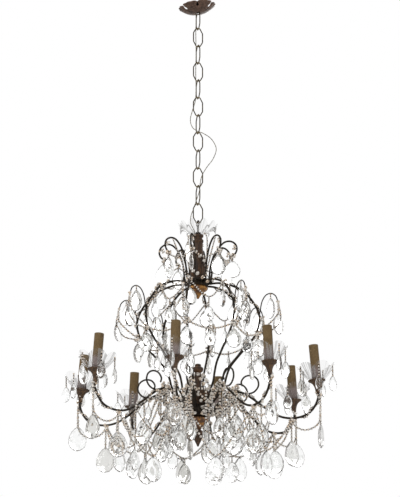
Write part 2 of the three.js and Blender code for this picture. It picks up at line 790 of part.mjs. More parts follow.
function spindle() {
  const bore = TIE_ROD_RADIUS + BORE_PLAY;
  return turned(
    [
      [0, TIE_ROD_REACH - BOSS_HEIGHT],
      [bore, TIE_ROD_REACH - BOSS_HEIGHT],
      [bore, 0],
      [21, 0],
      [26, 8],
      [SPINDLE_BULGE_RADIUS, 24],
      [SPINDLE_BULGE_RADIUS, 32],
      [22, 42],
      [12, 50],
      [9, 62],
      [10, 78],
      [8, 92],
      [14, 97],
      [15, 105],
      [8, 110],
      [9, 114],
      [0, SPINDLE_HEIGHT],
    ],
    12,
  );
}

const FINIAL_TOP = BOSS_TOP - BOSS_HEIGHT - SEAT_GAP;

function bottomFinial() {
  return turned(
    [
      [0, -FINIAL_LENGTH],
      [4, -FINIAL_LENGTH + 6],
      [10, -63],
      [15, -48],
      [13, -38],
      [8, -32],
      [16, -27],
      [BOWL_RADIUS - 2, -14],
      [BOWL_RADIUS, -BOWL_LIP_DROP],
      [17, 0],
      [TIE_ROD_RADIUS, 0],
      [TIE_ROD_RADIUS, TIE_ROD_REACH - 2],
      [0, TIE_ROD_REACH - 2],
    ],
    12,
  );
}

// A bead string through [radius, angle, height] stations, with heights from the cup rims.
function beadString(stations, steps) {
  const points = stations.map(([radius, angle, height]) => onAngle(radius, angle, LAMP_LEVEL + height));
  return wire(points, STRING_RADIUS, steps, STRING_SIDES);
}

// A drop on a string from stringTop down to dropTop, both from the cup rims, turned to face outwards.
function hungDrop(radius, angle, stringTop, dropTop, length = DROP_LENGTH, width = DROP_WIDTH) {
  return pendant(stringTop - dropTop, length, width, DROP_THICKNESS, 4)
    .rotateZ(angle)
    .translate(...onAngle(radius, angle, LAMP_LEVEL + stringTop));
}

function hungUpperDrop(radius, angle, stringTop, dropTop) {
  return hungDrop(radius, angle, stringTop, dropTop, UPPER_DROP_LENGTH, UPPER_DROP_WIDTH);
}

const STEM_STRING = 74;
const ARM_STRING = 61;
const BASKET_STRING = 94;
const UPPER_STRING = 31;
const SHORT_SWAG_LOW = 138;
const CAGE_SWAG_SAG = 40;
const TOP_SWAG_SAG = 18;

function lowerGarland() {
  const pieces = [];
  const [tieRadius, tieHeight] = ARM_TIE;
  const underArm = tieHeight - LAMP_LEVEL - ARM_WIRE_RADIUS - SEAT_GAP;
  const tieLevel = underArm - 5;
  const stemTie = -CUP_DEPTH - 11;
  const besideStem = alongCandle(stemTie)[0] + ARM_WIRE_RADIUS + SEAT_GAP + STRING_RADIUS + 1;
  const swagRadius = (tieRadius + GAP_DROP_RADIUS) / 2;
  for (let i = 0; i < LIGHTS; i++) {
    const here = lightAngle(i);
    const between = here + LIGHT_STEP / 2;
    const low = GAP_SWAG_LOW * GAP_SWAG_SHARES[i];
    const swagLevel = (tieLevel - low) / 2 - low * 0.05;
    pieces.push(hungDrop(besideStem, here, stemTie, stemTie - STEM_STRING));
    pieces.push(hungDrop(tieRadius, here, underArm, underArm - ARM_STRING));
    pieces.push(hungDrop(GAP_DROP_RADIUS, between, 4 - low, -2 - low));
    const shortSwag = [
      [besideStem, here, stemTie - STEM_STRING * 0.43],
      [besideStem - 7, here, stemTie - STEM_STRING],
      [(besideStem + tieRadius) / 2, here, -SHORT_SWAG_LOW],
      [tieRadius + 12, here, 10 - SHORT_SWAG_LOW],
      [tieRadius, here, tieLevel],
    ];
    pieces.push(beadString(shortSwag, 4));
    const longSwag = [
      [tieRadius, here, tieLevel],
      [swagRadius, here + LIGHT_STEP * 0.25, swagLevel],
      [GAP_DROP_RADIUS, between, -low],
      [swagRadius, here + LIGHT_STEP * 0.75, swagLevel],
      [tieRadius, here + LIGHT_STEP, tieLevel],
    ];
    pieces.push(beadString(longSwag, 4));
  }
  return joined(pieces);
}

function beadBasket() {
  const bottomRadius = BOWL_RADIUS + 1.2 * SEAT_GAP + STRING_RADIUS / 2;
  const bottomDrop = LAMP_LEVEL - FINIAL_TOP + BOWL_LIP_DROP;
  const hoop = (radius, drop, segments) => {
    const ring = new THREE.TorusGeometry(radius, STRING_RADIUS, STRING_SIDES, segments);
    return ring.translate(0, 0, LAMP_LEVEL - drop);
  };
  const pieces = [hoop(BASKET_RADIUS, BASKET_DROP, 16), hoop(bottomRadius, bottomDrop, 12)];
  for (let i = 0; i < LIGHTS; i++) {
    const between = lightAngle(i) + LIGHT_STEP / 2;
    const strand = [
      [BASKET_RADIUS, between, -BASKET_DROP],
      [BASKET_RADIUS * 0.88, between, -BASKET_DROP - BASKET_STRING * 0.32],
      [BASKET_RADIUS * 0.63, between, -BASKET_DROP - BASKET_STRING * 0.62],
      [bottomRadius + STRING_RADIUS / 2, between, -bottomDrop],
    ];
    pieces.push(beadString(strand, 3));
    pieces.push(hungDrop(BASKET_RADIUS, between, -BASKET_DROP, -BASKET_DROP - BASKET_STRING));
  }
  return joined(pieces);
}

function upperGarland() {
  const pieces = [];
  const rosetteBack = RIB_TIE[0] + RIB_WIRE_RADIUS + SEAT_GAP;
  const onRib = rosetteBack + ROSETTE_THICKNESS / 2;
  const tie = RIB_TIE[1] - LAMP_LEVEL - 4;
  const [tipRadius, tipHeight] = EAR_TIP;
  const fromTip = tipRadius + 1;
  for (let i = 0; i < LIGHTS; i++) {
    const here = lightAngle(i);
    const swag = [
      [onRib, here, tie],
      [CAGE_BELLY_RADIUS - 5, here + LIGHT_STEP * 0.25, tie - CAGE_SWAG_SAG * 0.7],
      [CAGE_BELLY_RADIUS - 13, here + LIGHT_STEP / 2, tie - CAGE_SWAG_SAG],
      [CAGE_BELLY_RADIUS - 5, here + LIGHT_STEP * 0.75, tie - CAGE_SWAG_SAG * 0.7],
      [onRib, here + LIGHT_STEP, tie],
    ];
    pieces.push(beadString(swag, 4));
    const rosette = new THREE.CylinderGeometry(ROSETTE_RADIUS, ROSETTE_RADIUS, ROSETTE_THICKNESS, 6);
    pieces.push(rosette.rotateZ(Math.PI / 2).translate(onRib, 0, LAMP_LEVEL + tie).rotateZ(here));
    const tipString = [
      [fromTip, here, tipHeight - UPPER_STRING * 0.94],
      [(fromTip + onRib) / 2 + 3, here, tie - 5],
      [onRib, here, tie],
    ];
    pieces.push(beadString(tipString, 2));
    pieces.push(hungUpperDrop(fromTip, here, tipHeight - 4, tipHeight - 4 - UPPER_STRING));
  }
  return joined(pieces);
}

function topGarland() {
  const pieces = [];
  const [underTail, tailHeight] = SCROLL_TIE;
  const level = tailHeight - LAMP_LEVEL - 1.1 * SCROLL_WIRE_RADIUS - SEAT_GAP - 0.7 * STRING_RADIUS;
  for (let i = 0; i < LIGHTS; i++) {
    const here = lightAngle(i);
    const swag = [
      [underTail, here, level - 3],
      [underTail - 9, here + LIGHT_STEP / 2, level - TOP_SWAG_SAG],
      [underTail, here + LIGHT_STEP, level - 3],
    ];
    pieces.push(beadString(swag, 2));
    pieces.push(hungUpperDrop(underTail, here, level, level - 8));
  }
  return joined(pieces);
}

const chandelier = new THREE.Group();

function place(name, geometry, material, parent = chandelier) {
  const mesh = new THREE.Mesh(geometry, material);
  mesh.name = name;
  parent.add(mesh);
  return mesh;
}

place("hook_plate", hookPlate(), iron);
place("terminal_block", terminalBlock(), porcelain).position.set(
  -19.5,
  3,
  -PLATE_THICKNESS - SEAT_GAP - TERMINAL_HEIGHT / 2,
);
const canopyMesh = place("canopy", canopy(), sheetMetal);
canopyMesh.position.z = FIRST_LINK_TOP - canopySeatDepth();
canopyMesh.setRotationFromAxisAngle(
  new THREE.Vector3(-Math.sin(CHAIN_TURN), Math.cos(CHAIN_TURN), 0),
  -CANOPY_TILT,
);
for (let i = 0; i < LINK_COUNT; i++) {
  const link = place("link_" + String(i + 1).padStart(2, "0"), chainLink(), chainBronze);
  link.position.z = linkTop(i) - LINK_LENGTH / 2;
  link.rotation.z = linkTurn(i);
}
place("flex", flexCord(), cable);
place("hanging_eye", hangingEye(), iron);
place("crown_glass", crownGlass(), glass).position.z = COLUMN_TOP + SEAT_GAP;
place("upper_column", upperColumn(), wood).position.z = COLUMN_TOP;
place("scroll_crown", scrollCrown(), iron);
place("cage_frame", cageFrame(), iron);
place("gilded_cone", gildedCone(), gilding).position.z = CONE_TOP;
place("spindle", spindle(), wood).position.z = SPINDLE_BOTTOM;
place("bottom_finial", bottomFinial(), gilding).position.z = FINIAL_TOP;
for (let i = 0; i < LIGHTS; i++) {
  const light = new THREE.Group();
  light.rotation.z = lightAngle(i);
  chandelier.add(light);
  const candle = candleFrame();
  light.add(candle);
  place("arm_" + (i + 1), arm(), iron, light);
  place("cup_" + (i + 1), cup(), wood, candle);
  place("glass_dish_" + (i + 1), glassDish(), glass, candle).position.z = SEAT_GAP;
  place("candle_sleeve_" + (i + 1), sleeve(), card, candle);
}
place("lower_garland", lowerGarland(), glass);
place("bead_basket", beadBasket(), glass);
place("upper_garland", upperGarland(), glass);
place("top_garland", topGarland(), glass);

export default chandelier;
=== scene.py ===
# The looks of an eight-light glass-drop chandelier on its chain, built from the ceiling down.
import math

import bpy
import numpy as np
from mathutils import Matrix, Vector


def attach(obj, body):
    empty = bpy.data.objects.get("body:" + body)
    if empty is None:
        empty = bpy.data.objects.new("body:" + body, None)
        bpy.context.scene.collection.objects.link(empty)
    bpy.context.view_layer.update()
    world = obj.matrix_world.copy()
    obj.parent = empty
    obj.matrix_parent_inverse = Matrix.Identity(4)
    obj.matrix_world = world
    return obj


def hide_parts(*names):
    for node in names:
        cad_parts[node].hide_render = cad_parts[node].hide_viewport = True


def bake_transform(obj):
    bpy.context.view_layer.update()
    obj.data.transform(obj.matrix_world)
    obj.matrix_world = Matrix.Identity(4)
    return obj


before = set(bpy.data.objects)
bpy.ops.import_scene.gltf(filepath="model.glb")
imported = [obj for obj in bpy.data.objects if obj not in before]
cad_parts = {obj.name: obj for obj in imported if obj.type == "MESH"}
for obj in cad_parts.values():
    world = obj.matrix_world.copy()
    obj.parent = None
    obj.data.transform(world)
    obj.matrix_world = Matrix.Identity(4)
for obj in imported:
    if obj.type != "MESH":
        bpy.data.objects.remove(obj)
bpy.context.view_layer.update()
scene = bpy.context.scene

# Viewpoint
# The camera stands five and a half metres in front of the chandelier, well below the lights, and looks up.
# It was fitted to the ring of eight lights, so it needs no shift.
viewpoint = bpy.data.objects.new("viewpoint", bpy.data.cameras.new("viewpoint"))
viewpoint.location = (0.00574, -5.5029, -2.4237)
viewpoint.rotation_euler = (math.radians(90 + 16.95), 0, 0)
viewpoint.data.sensor_width = 36
viewpoint.data.lens = 147.96
viewpoint.data.clip_start = 0.05
viewpoint.data.clip_end = 60
scene.collection.objects.link(viewpoint)
scene.camera = viewpoint
scene.view_settings.view_transform = "Standard"

# Flex
# A thin flex of two twisted cores with a dull woven cover. It is clamped in the block beside the hook, runs
# down the chain, swings out in two loose loops where there is length to spare, and ends on the column.
MM = 0.001


class Signal:
    """What leaves one socket of a finish, so that its shader maths reads as plain sums."""

    def __init__(self, finish, socket):
        self.finish = finish
        self.socket = socket

    def worked(self, operation, *values):
        return self.finish.node("ShaderNodeMath", {"operation": operation}, dict(enumerate(values)))

    def __add__(self, other):
        return self.worked("ADD", self, other)

    def __rsub__(self, other):
        return self.worked("SUBTRACT", other, self)

    def __mul__(self, other):
        return self.worked("MULTIPLY", self, other)

    __radd__ = __add__
    __rmul__ = __mul__

    def above(self, low, high):
        """0 below low, 1 above high, and smooth between."""
        inputs = {0: self, 1: low, 2: high, 3: 0.0, 4: 1.0}
        return self.finish.node("ShaderNodeMapRange", {"interpolation_type": "SMOOTHSTEP"}, inputs)


class Finish:
    """A material for one kind of surface. Sockets that are the same all over are set here."""

    def __init__(self, name, **settings):
        self.material = bpy.data.materials.new(name)
        self.material.use_nodes = True
        self.tree = self.material.node_tree
        self.shader = self.tree.nodes["Principled BSDF"]
        for socket, value in settings.items():
            self.shader.inputs[socket.replace("_", " ")].default_value = value

    def node(self, kind, settings, inputs, output=0):
        made = self.tree.nodes.new(kind)
        for setting, value in settings.items():
            setattr(made, setting, value)
        for socket, value in inputs.items():
            if isinstance(value, Signal):
                self.tree.links.new(value.socket, made.inputs[socket])
            else:
                made.inputs[socket].default_value = value
        return Signal(self, made.outputs[output])

    def feed(self, socket, value):
        self.tree.links.new(value.socket, self.shader.inputs[socket])

    def place(self):
        return self.node("ShaderNodeTexCoord", {}, {}, "Object")

    def slant(self):
        return self.node("ShaderNodeLayerWeight", {}, {"Blend": 0.4}, "Facing")

    def grey(self, attribute):
        return self.node("ShaderNodeAttribute", {"attribute_name": attribute}, {}, "Fac")

    def stretched(self, scale):
        return self.node("ShaderNodeMapping", {}, {"Vector": self.place(), "Scale": scale})

    def mottle(self, scale, detail=4.0, where=None, roughness=0.55):
        inputs = {"Vector": where or self.place(), "Scale": scale, "Detail": detail, "Roughness": roughness}
        return self.node("ShaderNodeTexNoise", {}, inputs)

    def blend(self, first, second, share):
        return self.node("ShaderNodeMix", {"data_type": "RGBA"}, {0: share, 6: first, 7: second}, 2)

    def coloured(self, dark, light, share, third, third_share):
        """A base colour that runs from dark to light, with a third colour laid over part of it."""
        self.feed("Base Color", self.blend(self.blend(dark, light, share), third, third_share))

    def relief(self, height, strength, depth):
        inputs = {"Height": height, "Strength": strength, "Distance": depth}
        self.feed("Normal", self.node("ShaderNodeBump", {}, inputs))


def smooth_line(points, spacing):
    """Points about spacing apart, in millimetres, on a smooth line through the given ones."""
    given = [np.array(p, float) for p in points]
    given = [2 * given[0] - given[1], *given, 2 * given[-1] - given[-2]]
    fine = []
    for before, start, end, after in zip(given, given[1:], given[2:], given[3:]):
        gaps = ((before, start), (start, end), (end, after))
        first, middle, last = (math.sqrt(np.linalg.norm(b - a)) for a, b in gaps)
        leave = (start - before) / first - (end - before) / (first + middle) + (end - start) / middle
        arrive = (end - start) / middle - (after - start) / (middle + last) + (after - end) / last
        leave, arrive = leave * middle, arrive * middle
        for t in np.linspace(0, 1, 24, endpoint=False):
            bend = -3 * start + 3 * end - 2 * leave - arrive
            ease = 2 * start - 2 * end + leave + arrive
            fine.append(start + leave * t + bend * t**2 + ease * t**3)
    fine = np.array([*fine, given[-2]])
    run = np.concatenate([[0], np.cumsum(np.linalg.norm(np.diff(fine, axis=0), axis=1))])
    places = np.linspace(0, run[-1], max(2, round(run[-1] / spacing) + 1))
    return np.stack([np.interp(places, run, fine[:, k]) for k in range(3)], axis=1)


def directions(line, closed=False):
    if closed:
        ahead = np.roll(line, -1, axis=0) - np.roll(line, 1, axis=0)
    else:
        ahead = np.gradient(line, axis=0)
    return ahead / np.linalg.norm(ahead, axis=1)[:, None]


def skin(rows, around, closed=True):
    """Faces from each row of points to the next, and from the last row to the first if closed."""
    faces = []
    for i in range(rows if closed else rows - 1):
        here, there = i * around, (i + 1) % rows * around
        for k in range(around):
            n = (k + 1) % around
            faces.append((here + k, here + n, there + n, there + k))
    return faces


def swept(line, section, turn=0.0, sizes=None, closed=False):
    """A section of [across, up] pairs carried along a line, turned by so many radians from ring to ring."""
    ahead = directions(line, closed)
    guide = np.array([0.0, 0.0, 1.0]) if abs(ahead[0][2]) < 0.9 else np.array([1.0, 0.0, 0.0])
    side = np.cross(ahead[0], guide)
    side /= np.linalg.norm(side)
    points = []
    for k, (centre, way) in enumerate(zip(line, ahead)):
        side = side - way * np.dot(side, way)
        side /= np.linalg.norm(side)
        up = np.cross(side, way)
        size = 1 if sizes is None else sizes[k]
        cos, sin = math.cos(turn * k), math.sin(turn * k)
        for across, rise in section:
            a, b = across * cos - rise * sin, across * sin + rise * cos
            points.append(centre + size * (a * side + b * up))
    count = len(section)
    faces = skin(len(line), count, closed)
    if not closed:
        faces.append(tuple(reversed(range(count))))
        faces.append(tuple(range((len(line) - 1) * count, len(line) * count)))
    return np.array(points), faces


def round_section(radius, sides):
    angles = [2 * math.pi * k / sides for k in range(sides)]
    return [(radius * math.cos(a), radius * math.sin(a)) for a in angles]


def piece(name, form, finish, replaces=(), body="chandelier", sharp=40, shades=None, facets=None):
    """A named object from (points in millimetres, faces), on its body and with its finish."""
    points, faces = form
    mesh = bpy.data.meshes.new(name)
    mesh.from_pydata([tuple(p) for p in np.asarray(points) * MM], [], faces)
    mesh.validate()
    mesh.materials.append(finish.material)
    for attribute, domain, values in (("shade", "POINT", shades), ("facet", "FACE", facets)):
        if values is not None:
            greys = mesh.attributes.new(attribute, "FLOAT", domain).data
            greys.foreach_set("value", np.asarray(values, np.float32))
    if sharp:
        mesh.shade_smooth()
        mesh.set_sharp_from_angle(angle=math.radians(sharp))
    made = bpy.data.objects.new(name, mesh)
    scene.collection.objects.link(made)
    if body:
        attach(made, body)
    if replaces:
        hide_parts(*replaces)
    return made


FLEX_ROUTE = [
    (-15, 3, -14.3), (-14.4, 3, -19), (-9.5, 2.9, -25), (-6.3, 2.7, -31), (-6, 2.5, -42), (-6.4, 2.6, -90),
    (-5.8, 2.6, -150), (-6.6, 2.6, -215), (-6, 2.7, -270), (-8, 3, -302), (-16, 5, -330), (-22, 6, -357),
    (-16, -8, -386), (-3, -19, -401), (15, -17, -408), (38, -9, -422), (52, -3, -449), (43, -3, -480),
    (25, -4, -506), (11, -4, -532), (6, -2.5, -556), (4.5, -2, -574), (-4.5, 2, -603), (-12, 4, -626),
    (-20, 4, -650), (-20, 2, -672), (-13, -1, -689), (-10, -2, -697), (-10, -2, -706.7),
]
LINK_PITCH = 53.7
swing_heights = [-26.9] + [-80.2 - LINK_PITCH * k for k in range(12)]

woven_cover = Finish("woven_flex_cover", Roughness=0.75, Sheen_Weight=0.2)
weave = woven_cover.mottle(2600, 3.0, woven_cover.stretched((1, 1, 0.35)))
age = woven_cover.mottle(55, 3.0)
woven_cover.coloured(
    (0.1, 0.085, 0.055, 1), (0.24, 0.21, 0.14, 1), weave.above(0.4, 0.62),
    (0.06, 0.05, 0.035, 1), age.above(0.45, 0.7) * 0.7,
)
woven_cover.relief(weave, 0.4, 0.0003)

flex_line = smooth_line(FLEX_ROUTE, 1.6)
core_turns = np.arange(12) * math.pi / 6
two_cores = [(1.25 * math.cos(a), math.sin(a) * (0.8 + 0.2 * math.sin(a) ** 2)) for a in core_turns]
boundaries = [(a + b) / 2 for a, b in zip(swing_heights, swing_heights[1:])]
cuts = [int(np.argmax(flex_line[:, 2] < height)) for height in boundaries]
cuts = [0, *cuts, len(flex_line) - 1]
for k, (first, last) in enumerate(zip(cuts, cuts[1:])):
    stretch = flex_line[first : last + 1]
    length = float(np.linalg.norm(np.diff(stretch, axis=0), axis=1).sum()) * MM
    form = swept(stretch, two_cores, turn=0.45)
    flex_stretch = piece("flex_stretch_%02d" % (k + 1), form, woven_cover, ["flex"], None, sharp=60)
    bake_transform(flex_stretch)

# Studio
# A pale floor lies far below, where a room's floor would be. Soft lamps stand in front, beside and behind.
# The world is white to the eye, in reflections and through glass, and grey for what it lights.
FLOOR_HALF = 9
FLOOR_LEVEL = -3.9
CHANDELIER_MIDDLE = (0, 0, -1.1)
corners = [(x * FLOOR_HALF, y * FLOOR_HALF, FLOOR_LEVEL) for x, y in ((-1, -1), (1, -1), (1, 1), (-1, 1))]
floor_mesh = bpy.data.meshes.new("floor")
floor_mesh.from_pydata(corners, [], [(0, 1, 2, 3)])
floor = bpy.data.objects.new("floor", floor_mesh)
scene.collection.objects.link(floor)
floor_paint = Finish("pale_floor", Base_Color=(0.8, 0.8, 0.79, 1), Roughness=0.9)
floor_mesh.materials.append(floor_paint.material)

room = bpy.data.worlds.new("studio")
room.use_nodes = True
scene.world = room
sky = room.node_tree.nodes
sky_links = room.node_tree.links


def either(first, second):
    chosen = sky.new("ShaderNodeMath")
    chosen.operation = "MAXIMUM"
    sky_links.new(first, chosen.inputs[0])
    sky_links.new(second, chosen.inputs[1])
    return chosen.outputs[0]


ray = sky.new("ShaderNodeLightPath").outputs
level = sky.new("ShaderNodeMix")
level.data_type = "RGBA"
level.inputs[6].default_value = (0.64, 0.63, 0.62, 1)
level.inputs[7].default_value = (1, 1, 1, 1)
seen = either(ray["Is Camera Ray"], ray["Is Glossy Ray"])
sky_links.new(either(seen, ray["Is Transmission Ray"]), level.inputs[0])
sky_links.new(level.outputs[2], sky["Background"].inputs["Color"])
sky["Background"].inputs["Strength"].default_value = 1.0


def studio_lamp(name, place, size, power):
    """A soft square lamp that looks at the middle of the chandelier."""
    lamp = bpy.data.objects.new(name, bpy.data.lights.new(name, "AREA"))
    lamp.data.size = size
    lamp.data.energy = power
    lamp.location = place
    lamp.rotation_euler = (Vector(CHANDELIER_MIDDLE) - Vector(place)).to_track_quat("-Z", "Y").to_euler()
    scene.collection.objects.link(lamp)


studio_lamp("window_light", (-2.6, -3.4, 0.4), 2.0, 70)
studio_lamp("fill_light", (3.0, -2.2, -1.8), 2.2, 26)
studio_lamp("back_light", (0.6, 3.2, 0.6), 2.0, 40)

# Ceiling hook
# A small round steel plate lies flat against the ceiling, with a bent wire hook riveted through its middle.
# Beside it a porcelain block joins the flex to the ceiling's wires. All of it hides behind the canopy.
dark_iron = Finish("dark_iron", Specular_IOR_Level=0.2)
iron_patches = dark_iron.mottle(150, 5.0)
iron_grain = dark_iron.mottle(1400, 3.0)
dark_iron.coloured(
    (0.011, 0.008, 0.005, 1), (0.04, 0.027, 0.015, 1), iron_patches.above(0.42, 0.68),
    (0.08, 0.045, 0.026, 1), iron_grain.above(0.62, 0.8) * 0.5,
)
dark_iron.feed("Roughness", 0.5 + iron_patches * 0.3)
dark_iron.relief(iron_patches + iron_grain * 0.3, 0.25, 0.0004)


def polar(radius, angle, height):
    return (radius * math.cos(angle), radius * math.sin(angle), height)


def turned(profile, around=32):
    """A profile of [radius, height] pairs turned about the Z axis, open at the axis or closed on itself."""
    closed = tuple(profile[0]) == tuple(profile[-1])
    rows = profile[:-1] if closed else profile
    points, faces, rings = [], [], []
    for radius, height in rows:
        if radius < 1e-6:
            rings.append([len(points)] * around)
            points.append((0, 0, height))
        else:
            rings.append(list(range(len(points), len(points) + around)))
            points += [polar(radius, 2 * math.pi * k / around, height) for k in range(around)]
    pairs = list(zip(rings, rings[1:]))
    if closed:
        pairs.append((rings[-1], rings[0]))
    for low, high in pairs:
        for k in range(around):
            n = (k + 1) % around
            faces.append(tuple(dict.fromkeys((low[k], low[n], high[n], high[k]))))
    return np.array(points, float), [f for f in faces if len(f) > 2]


def moved(form, matrix):
    points, faces = form
    grid = np.array(matrix)
    return points @ grid[:3, :3].T + grid[:3, 3], faces


def raised(form, height):
    return moved(form, Matrix.Translation((0, 0, height)))


def merged(forms):
    points, faces, start = [], [], 0
    for form_points, form_faces in forms:
        points.append(form_points)
        faces += [tuple(i + start for i in f) for f in form_faces]
        start += len(form_points)
    return np.concatenate(points), faces


def wire(points, radius, spacing=4.0, sides=8):
    """A round wire along a smooth line, with its ends rounded over."""
    line = smooth_line(points, spacing)
    into, out = 0.4 * radius * directions(line)[[0, -1]]
    line = np.array([line[0], line[0] + into, *line[1:-1], line[-1] - out, line[-1]])
    sizes = np.ones(len(line))
    sizes[0] = sizes[-1] = 0.6
    return swept(line, round_section(radius, sides), sizes=sizes)


CHAIN_TURN = math.radians(22)
plate_profile = [(0, -3), (19, -3), (21.2, -2.4), (22, -1.2), (22, 0), (0, 0)]
hook_line = [(0, 0, -2.3), (0, 0, -5), (-5.6, 0, -9.9)]
hook_line += [(8 * math.cos(a), 0, -18.9 + 8 * math.sin(a)) for a in np.linspace(math.pi, 2 * math.pi, 7)]
hook_line += [(8, 0, -13.9)]
hook = moved(wire(hook_line, 2.0, 1.6, 12), Matrix.Rotation(CHAIN_TURN, 4, "Z"))
hook_and_plate = merged([turned(plate_profile, 48), hook])
piece("ceiling_hook_plate", hook_and_plate, dark_iron, ["hook_plate"], "ceiling_hook")

glazed = Finish("glazed_porcelain", Coat_Weight=0.6, Coat_Roughness=0.08)
glaze_stain = glazed.mottle(180, 4.0)
glaze = glazed.blend((0.78, 0.76, 0.7, 1), (0.6, 0.55, 0.45, 1), glaze_stain.above(0.5, 0.75))
glazed.feed("Base Color", glaze)
glazed.feed("Roughness", 0.2 + glaze_stain * 0.2)
block_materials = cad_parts["terminal_block"].data.materials
block_materials.clear()
block_materials.append(glazed.material)

# Chain
# Twelve long links of bronzed wire, each bent to an octagon with soft corners. Every link stands a quarter
# turn from the last, and the bronze is rubbed bright where the ends bear on each other.
bronze = Finish("olive_bronze", Metallic=0.5)
bronze_patches = bronze.mottle(120, 4.0)
bronze_height = bronze.node("ShaderNodeSeparateXYZ", {}, {0: bronze.place()}, "Z")
bronze_ends = (bronze_height * bronze_height).above(0.00060, 0.00078)
bronze.coloured(
    (0.026, 0.021, 0.012, 1), (0.085, 0.065, 0.032, 1), bronze_patches.above(0.4, 0.7),
    (0.25, 0.18, 0.08, 1), bronze_ends * 0.6,
)
bronze.feed("Roughness", 0.5 - bronze_ends * 0.18 + bronze_patches * 0.1)
bronze.relief(bronze_patches, 0.15, 0.0003)


def bent_corners(corners, reach, steps=4):
    """A closed line with each corner bent over a short reach on both sides of it, and straight between."""
    corners = [np.array(c, float) for c in corners]
    line = []
    for before, corner, after in zip([corners[-1]] + corners, corners, corners[1:] + corners[:1]):
        start = corner + (before - corner) / np.linalg.norm(before - corner) * reach
        end = corner + (after - corner) / np.linalg.norm(after - corner) * reach
        for t in np.linspace(0, 1, steps):
            line.append((1 - t) ** 2 * start + 2 * t * (1 - t) * corner + t**2 * end)
    return np.array(line)


CHAIN_TOP = -23.0
LINK_HALF = 28.6
right_side = [(5.4, LINK_HALF), (14.1, 13.4), (14.1, -13.4), (5.4, -LINK_HALF)]
left_side = [(-x, z) for x, z in reversed(right_side)]
link_line = bent_corners([(x, 0, z) for x, z in right_side + left_side], 2.6)
link_form = swept(link_line, round_section(1.7, 10), closed=True)
for n in range(12):
    number = "%02d" % (n + 1)
    link = piece("chain_link_" + number, link_form, bronze, ["link_" + number], None)
    link.location = (0, 0, (CHAIN_TOP - LINK_PITCH * n - LINK_HALF) * MM)
    link.rotation_euler = (0, 0, CHAIN_TURN + (math.pi / 2 if n % 2 == 0 else 0))
    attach(link, "chain_link_" + number)

# Canopy
# A flower of six petals pressed from thin steel sheet and painted rusty brown. A slot with a round end parts
# each petal from the next. It rests askew on the shoulders of the first link.
rust_paint = Finish("rust_brown_paint", Metallic=0.35)
paint_patches = rust_paint.mottle(60, 6.0, roughness=0.65)
paint_specks = rust_paint.mottle(700, 3.0)
rust_paint.coloured(
    (0.035, 0.018, 0.011, 1), (0.14, 0.08, 0.055, 1), paint_patches.above(0.35, 0.65),
    (0.2, 0.13, 0.08, 1), paint_specks.above(0.6, 0.78) * 0.6,
)
rust_paint.feed("Roughness", 0.35 + paint_patches * 0.35)
rust_paint.relief(paint_patches + paint_specks * 0.4, 0.3, 0.0005)


SLOT_FOOT = 36
SLOT_EYE_AT = 39
SLOT_EYE_RADIUS = 4.2
SLOT_HALF = 1.5


def canopy_form(petals=6, across=15, rings=12, hole=11.0, rim=54.0, rise=20.5, sheet=1.2):
    """A lower and an upper skin of creased petals, with walls between the skins round each slot and edge."""
    points, faces = [], []
    columns = petals * across
    for thickness in (0.0, sheet):
        for column in range(columns):
            petal, side = divmod(column, across)
            u = 2 * side / (across - 1) - 1
            lobes = 1 - 0.055 * math.exp(-(((abs(u) - 0.34) / 0.1) ** 2)) - 0.12 * abs(u) ** 6
            for ring in range(rings):
                t = ring / (rings - 1)
                r = hole + (rim * lobes - hole) * t
                gap = 0.0
                if abs(r - SLOT_EYE_AT) < SLOT_EYE_RADIUS:
                    gap = math.sqrt(SLOT_EYE_RADIUS**2 - (r - SLOT_EYE_AT) ** 2)
                if r > SLOT_EYE_AT:
                    gap = max(gap, SLOT_HALF)
                a = 2 * math.pi * petal / petals + u * (math.pi / petals - gap / r)
                crease = 0.9 * (1 - u * u) * t
                height = rise * (0.16 * t + 0.84 * t**1.9) + crease + thickness
                points.append(polar(r, a, height))

    to_upper = columns * rings

    def wall(start, end, outward):
        edge = (start, end, end + to_upper, start + to_upper)
        faces.append(edge if outward else edge[::-1])

    step = (rim - hole) / (rings - 1)
    slotted = [ring for ring in range(rings - 1) if hole + step * (ring + 1) > SLOT_FOOT]
    for column in range(columns):
        here, side = column * rings, column % across
        if side < across - 1:
            beside = here + rings
            for ring in range(rings - 1):
                low = (here + ring, beside + ring, beside + ring + 1, here + ring + 1)
                faces.append(low[::-1])
                faces.append(tuple(i + to_upper for i in low))
            wall(here, beside, False)
            wall(here + rings - 1, beside + rings - 1, True)
        if side in (0, across - 1):
            for ring in slotted:
                wall(here + ring, here + ring + 1, side == 0)
    return np.array(points), faces


canopy_lean = Matrix.Rotation(math.radians(-8), 4, Vector((-math.sin(CHAIN_TURN), math.cos(CHAIN_TURN), 0)))
canopy_place = Matrix.Translation((0, 0, -29.55)) @ canopy_lean
canopy_set = moved(canopy_form(), canopy_place)
canopy = piece("petalled_canopy", canopy_set, rust_paint, ["canopy"], "chain_link_01", 35)
weld = canopy.modifiers.new("joined_petals", "WELD")
weld.merge_threshold = 0.00005

# Hanging eye
# A forged ring on a long rod. The rod runs down through the glass crown, the column and the plates under it,
# and a nut hidden in the gilded cone holds the whole stack together.
eye_line = [(8 * math.cos(a), 0, -673 + 8 * math.sin(a)) for a in np.arange(24) * math.pi / 12]
eye_ring = swept(np.array(eye_line), round_section(2, 10), closed=True)
eye_ring = moved(eye_ring, Matrix.Rotation(CHAIN_TURN + math.pi / 2, 4, "Z"))
rod_profile = [
    (0, -873.9), (4, -873.9), (4, -703.2), (8, -703.2), (8, -700.5), (6.5, -699.7), (2.4, -697.6), (2, -694),
    (2, -681), (0, -681),
]
eye_and_rod = merged([eye_ring, turned(rod_profile, 20)])
piece("hanging_eye_and_rod", eye_and_rod, dark_iron, ["hanging_eye"])

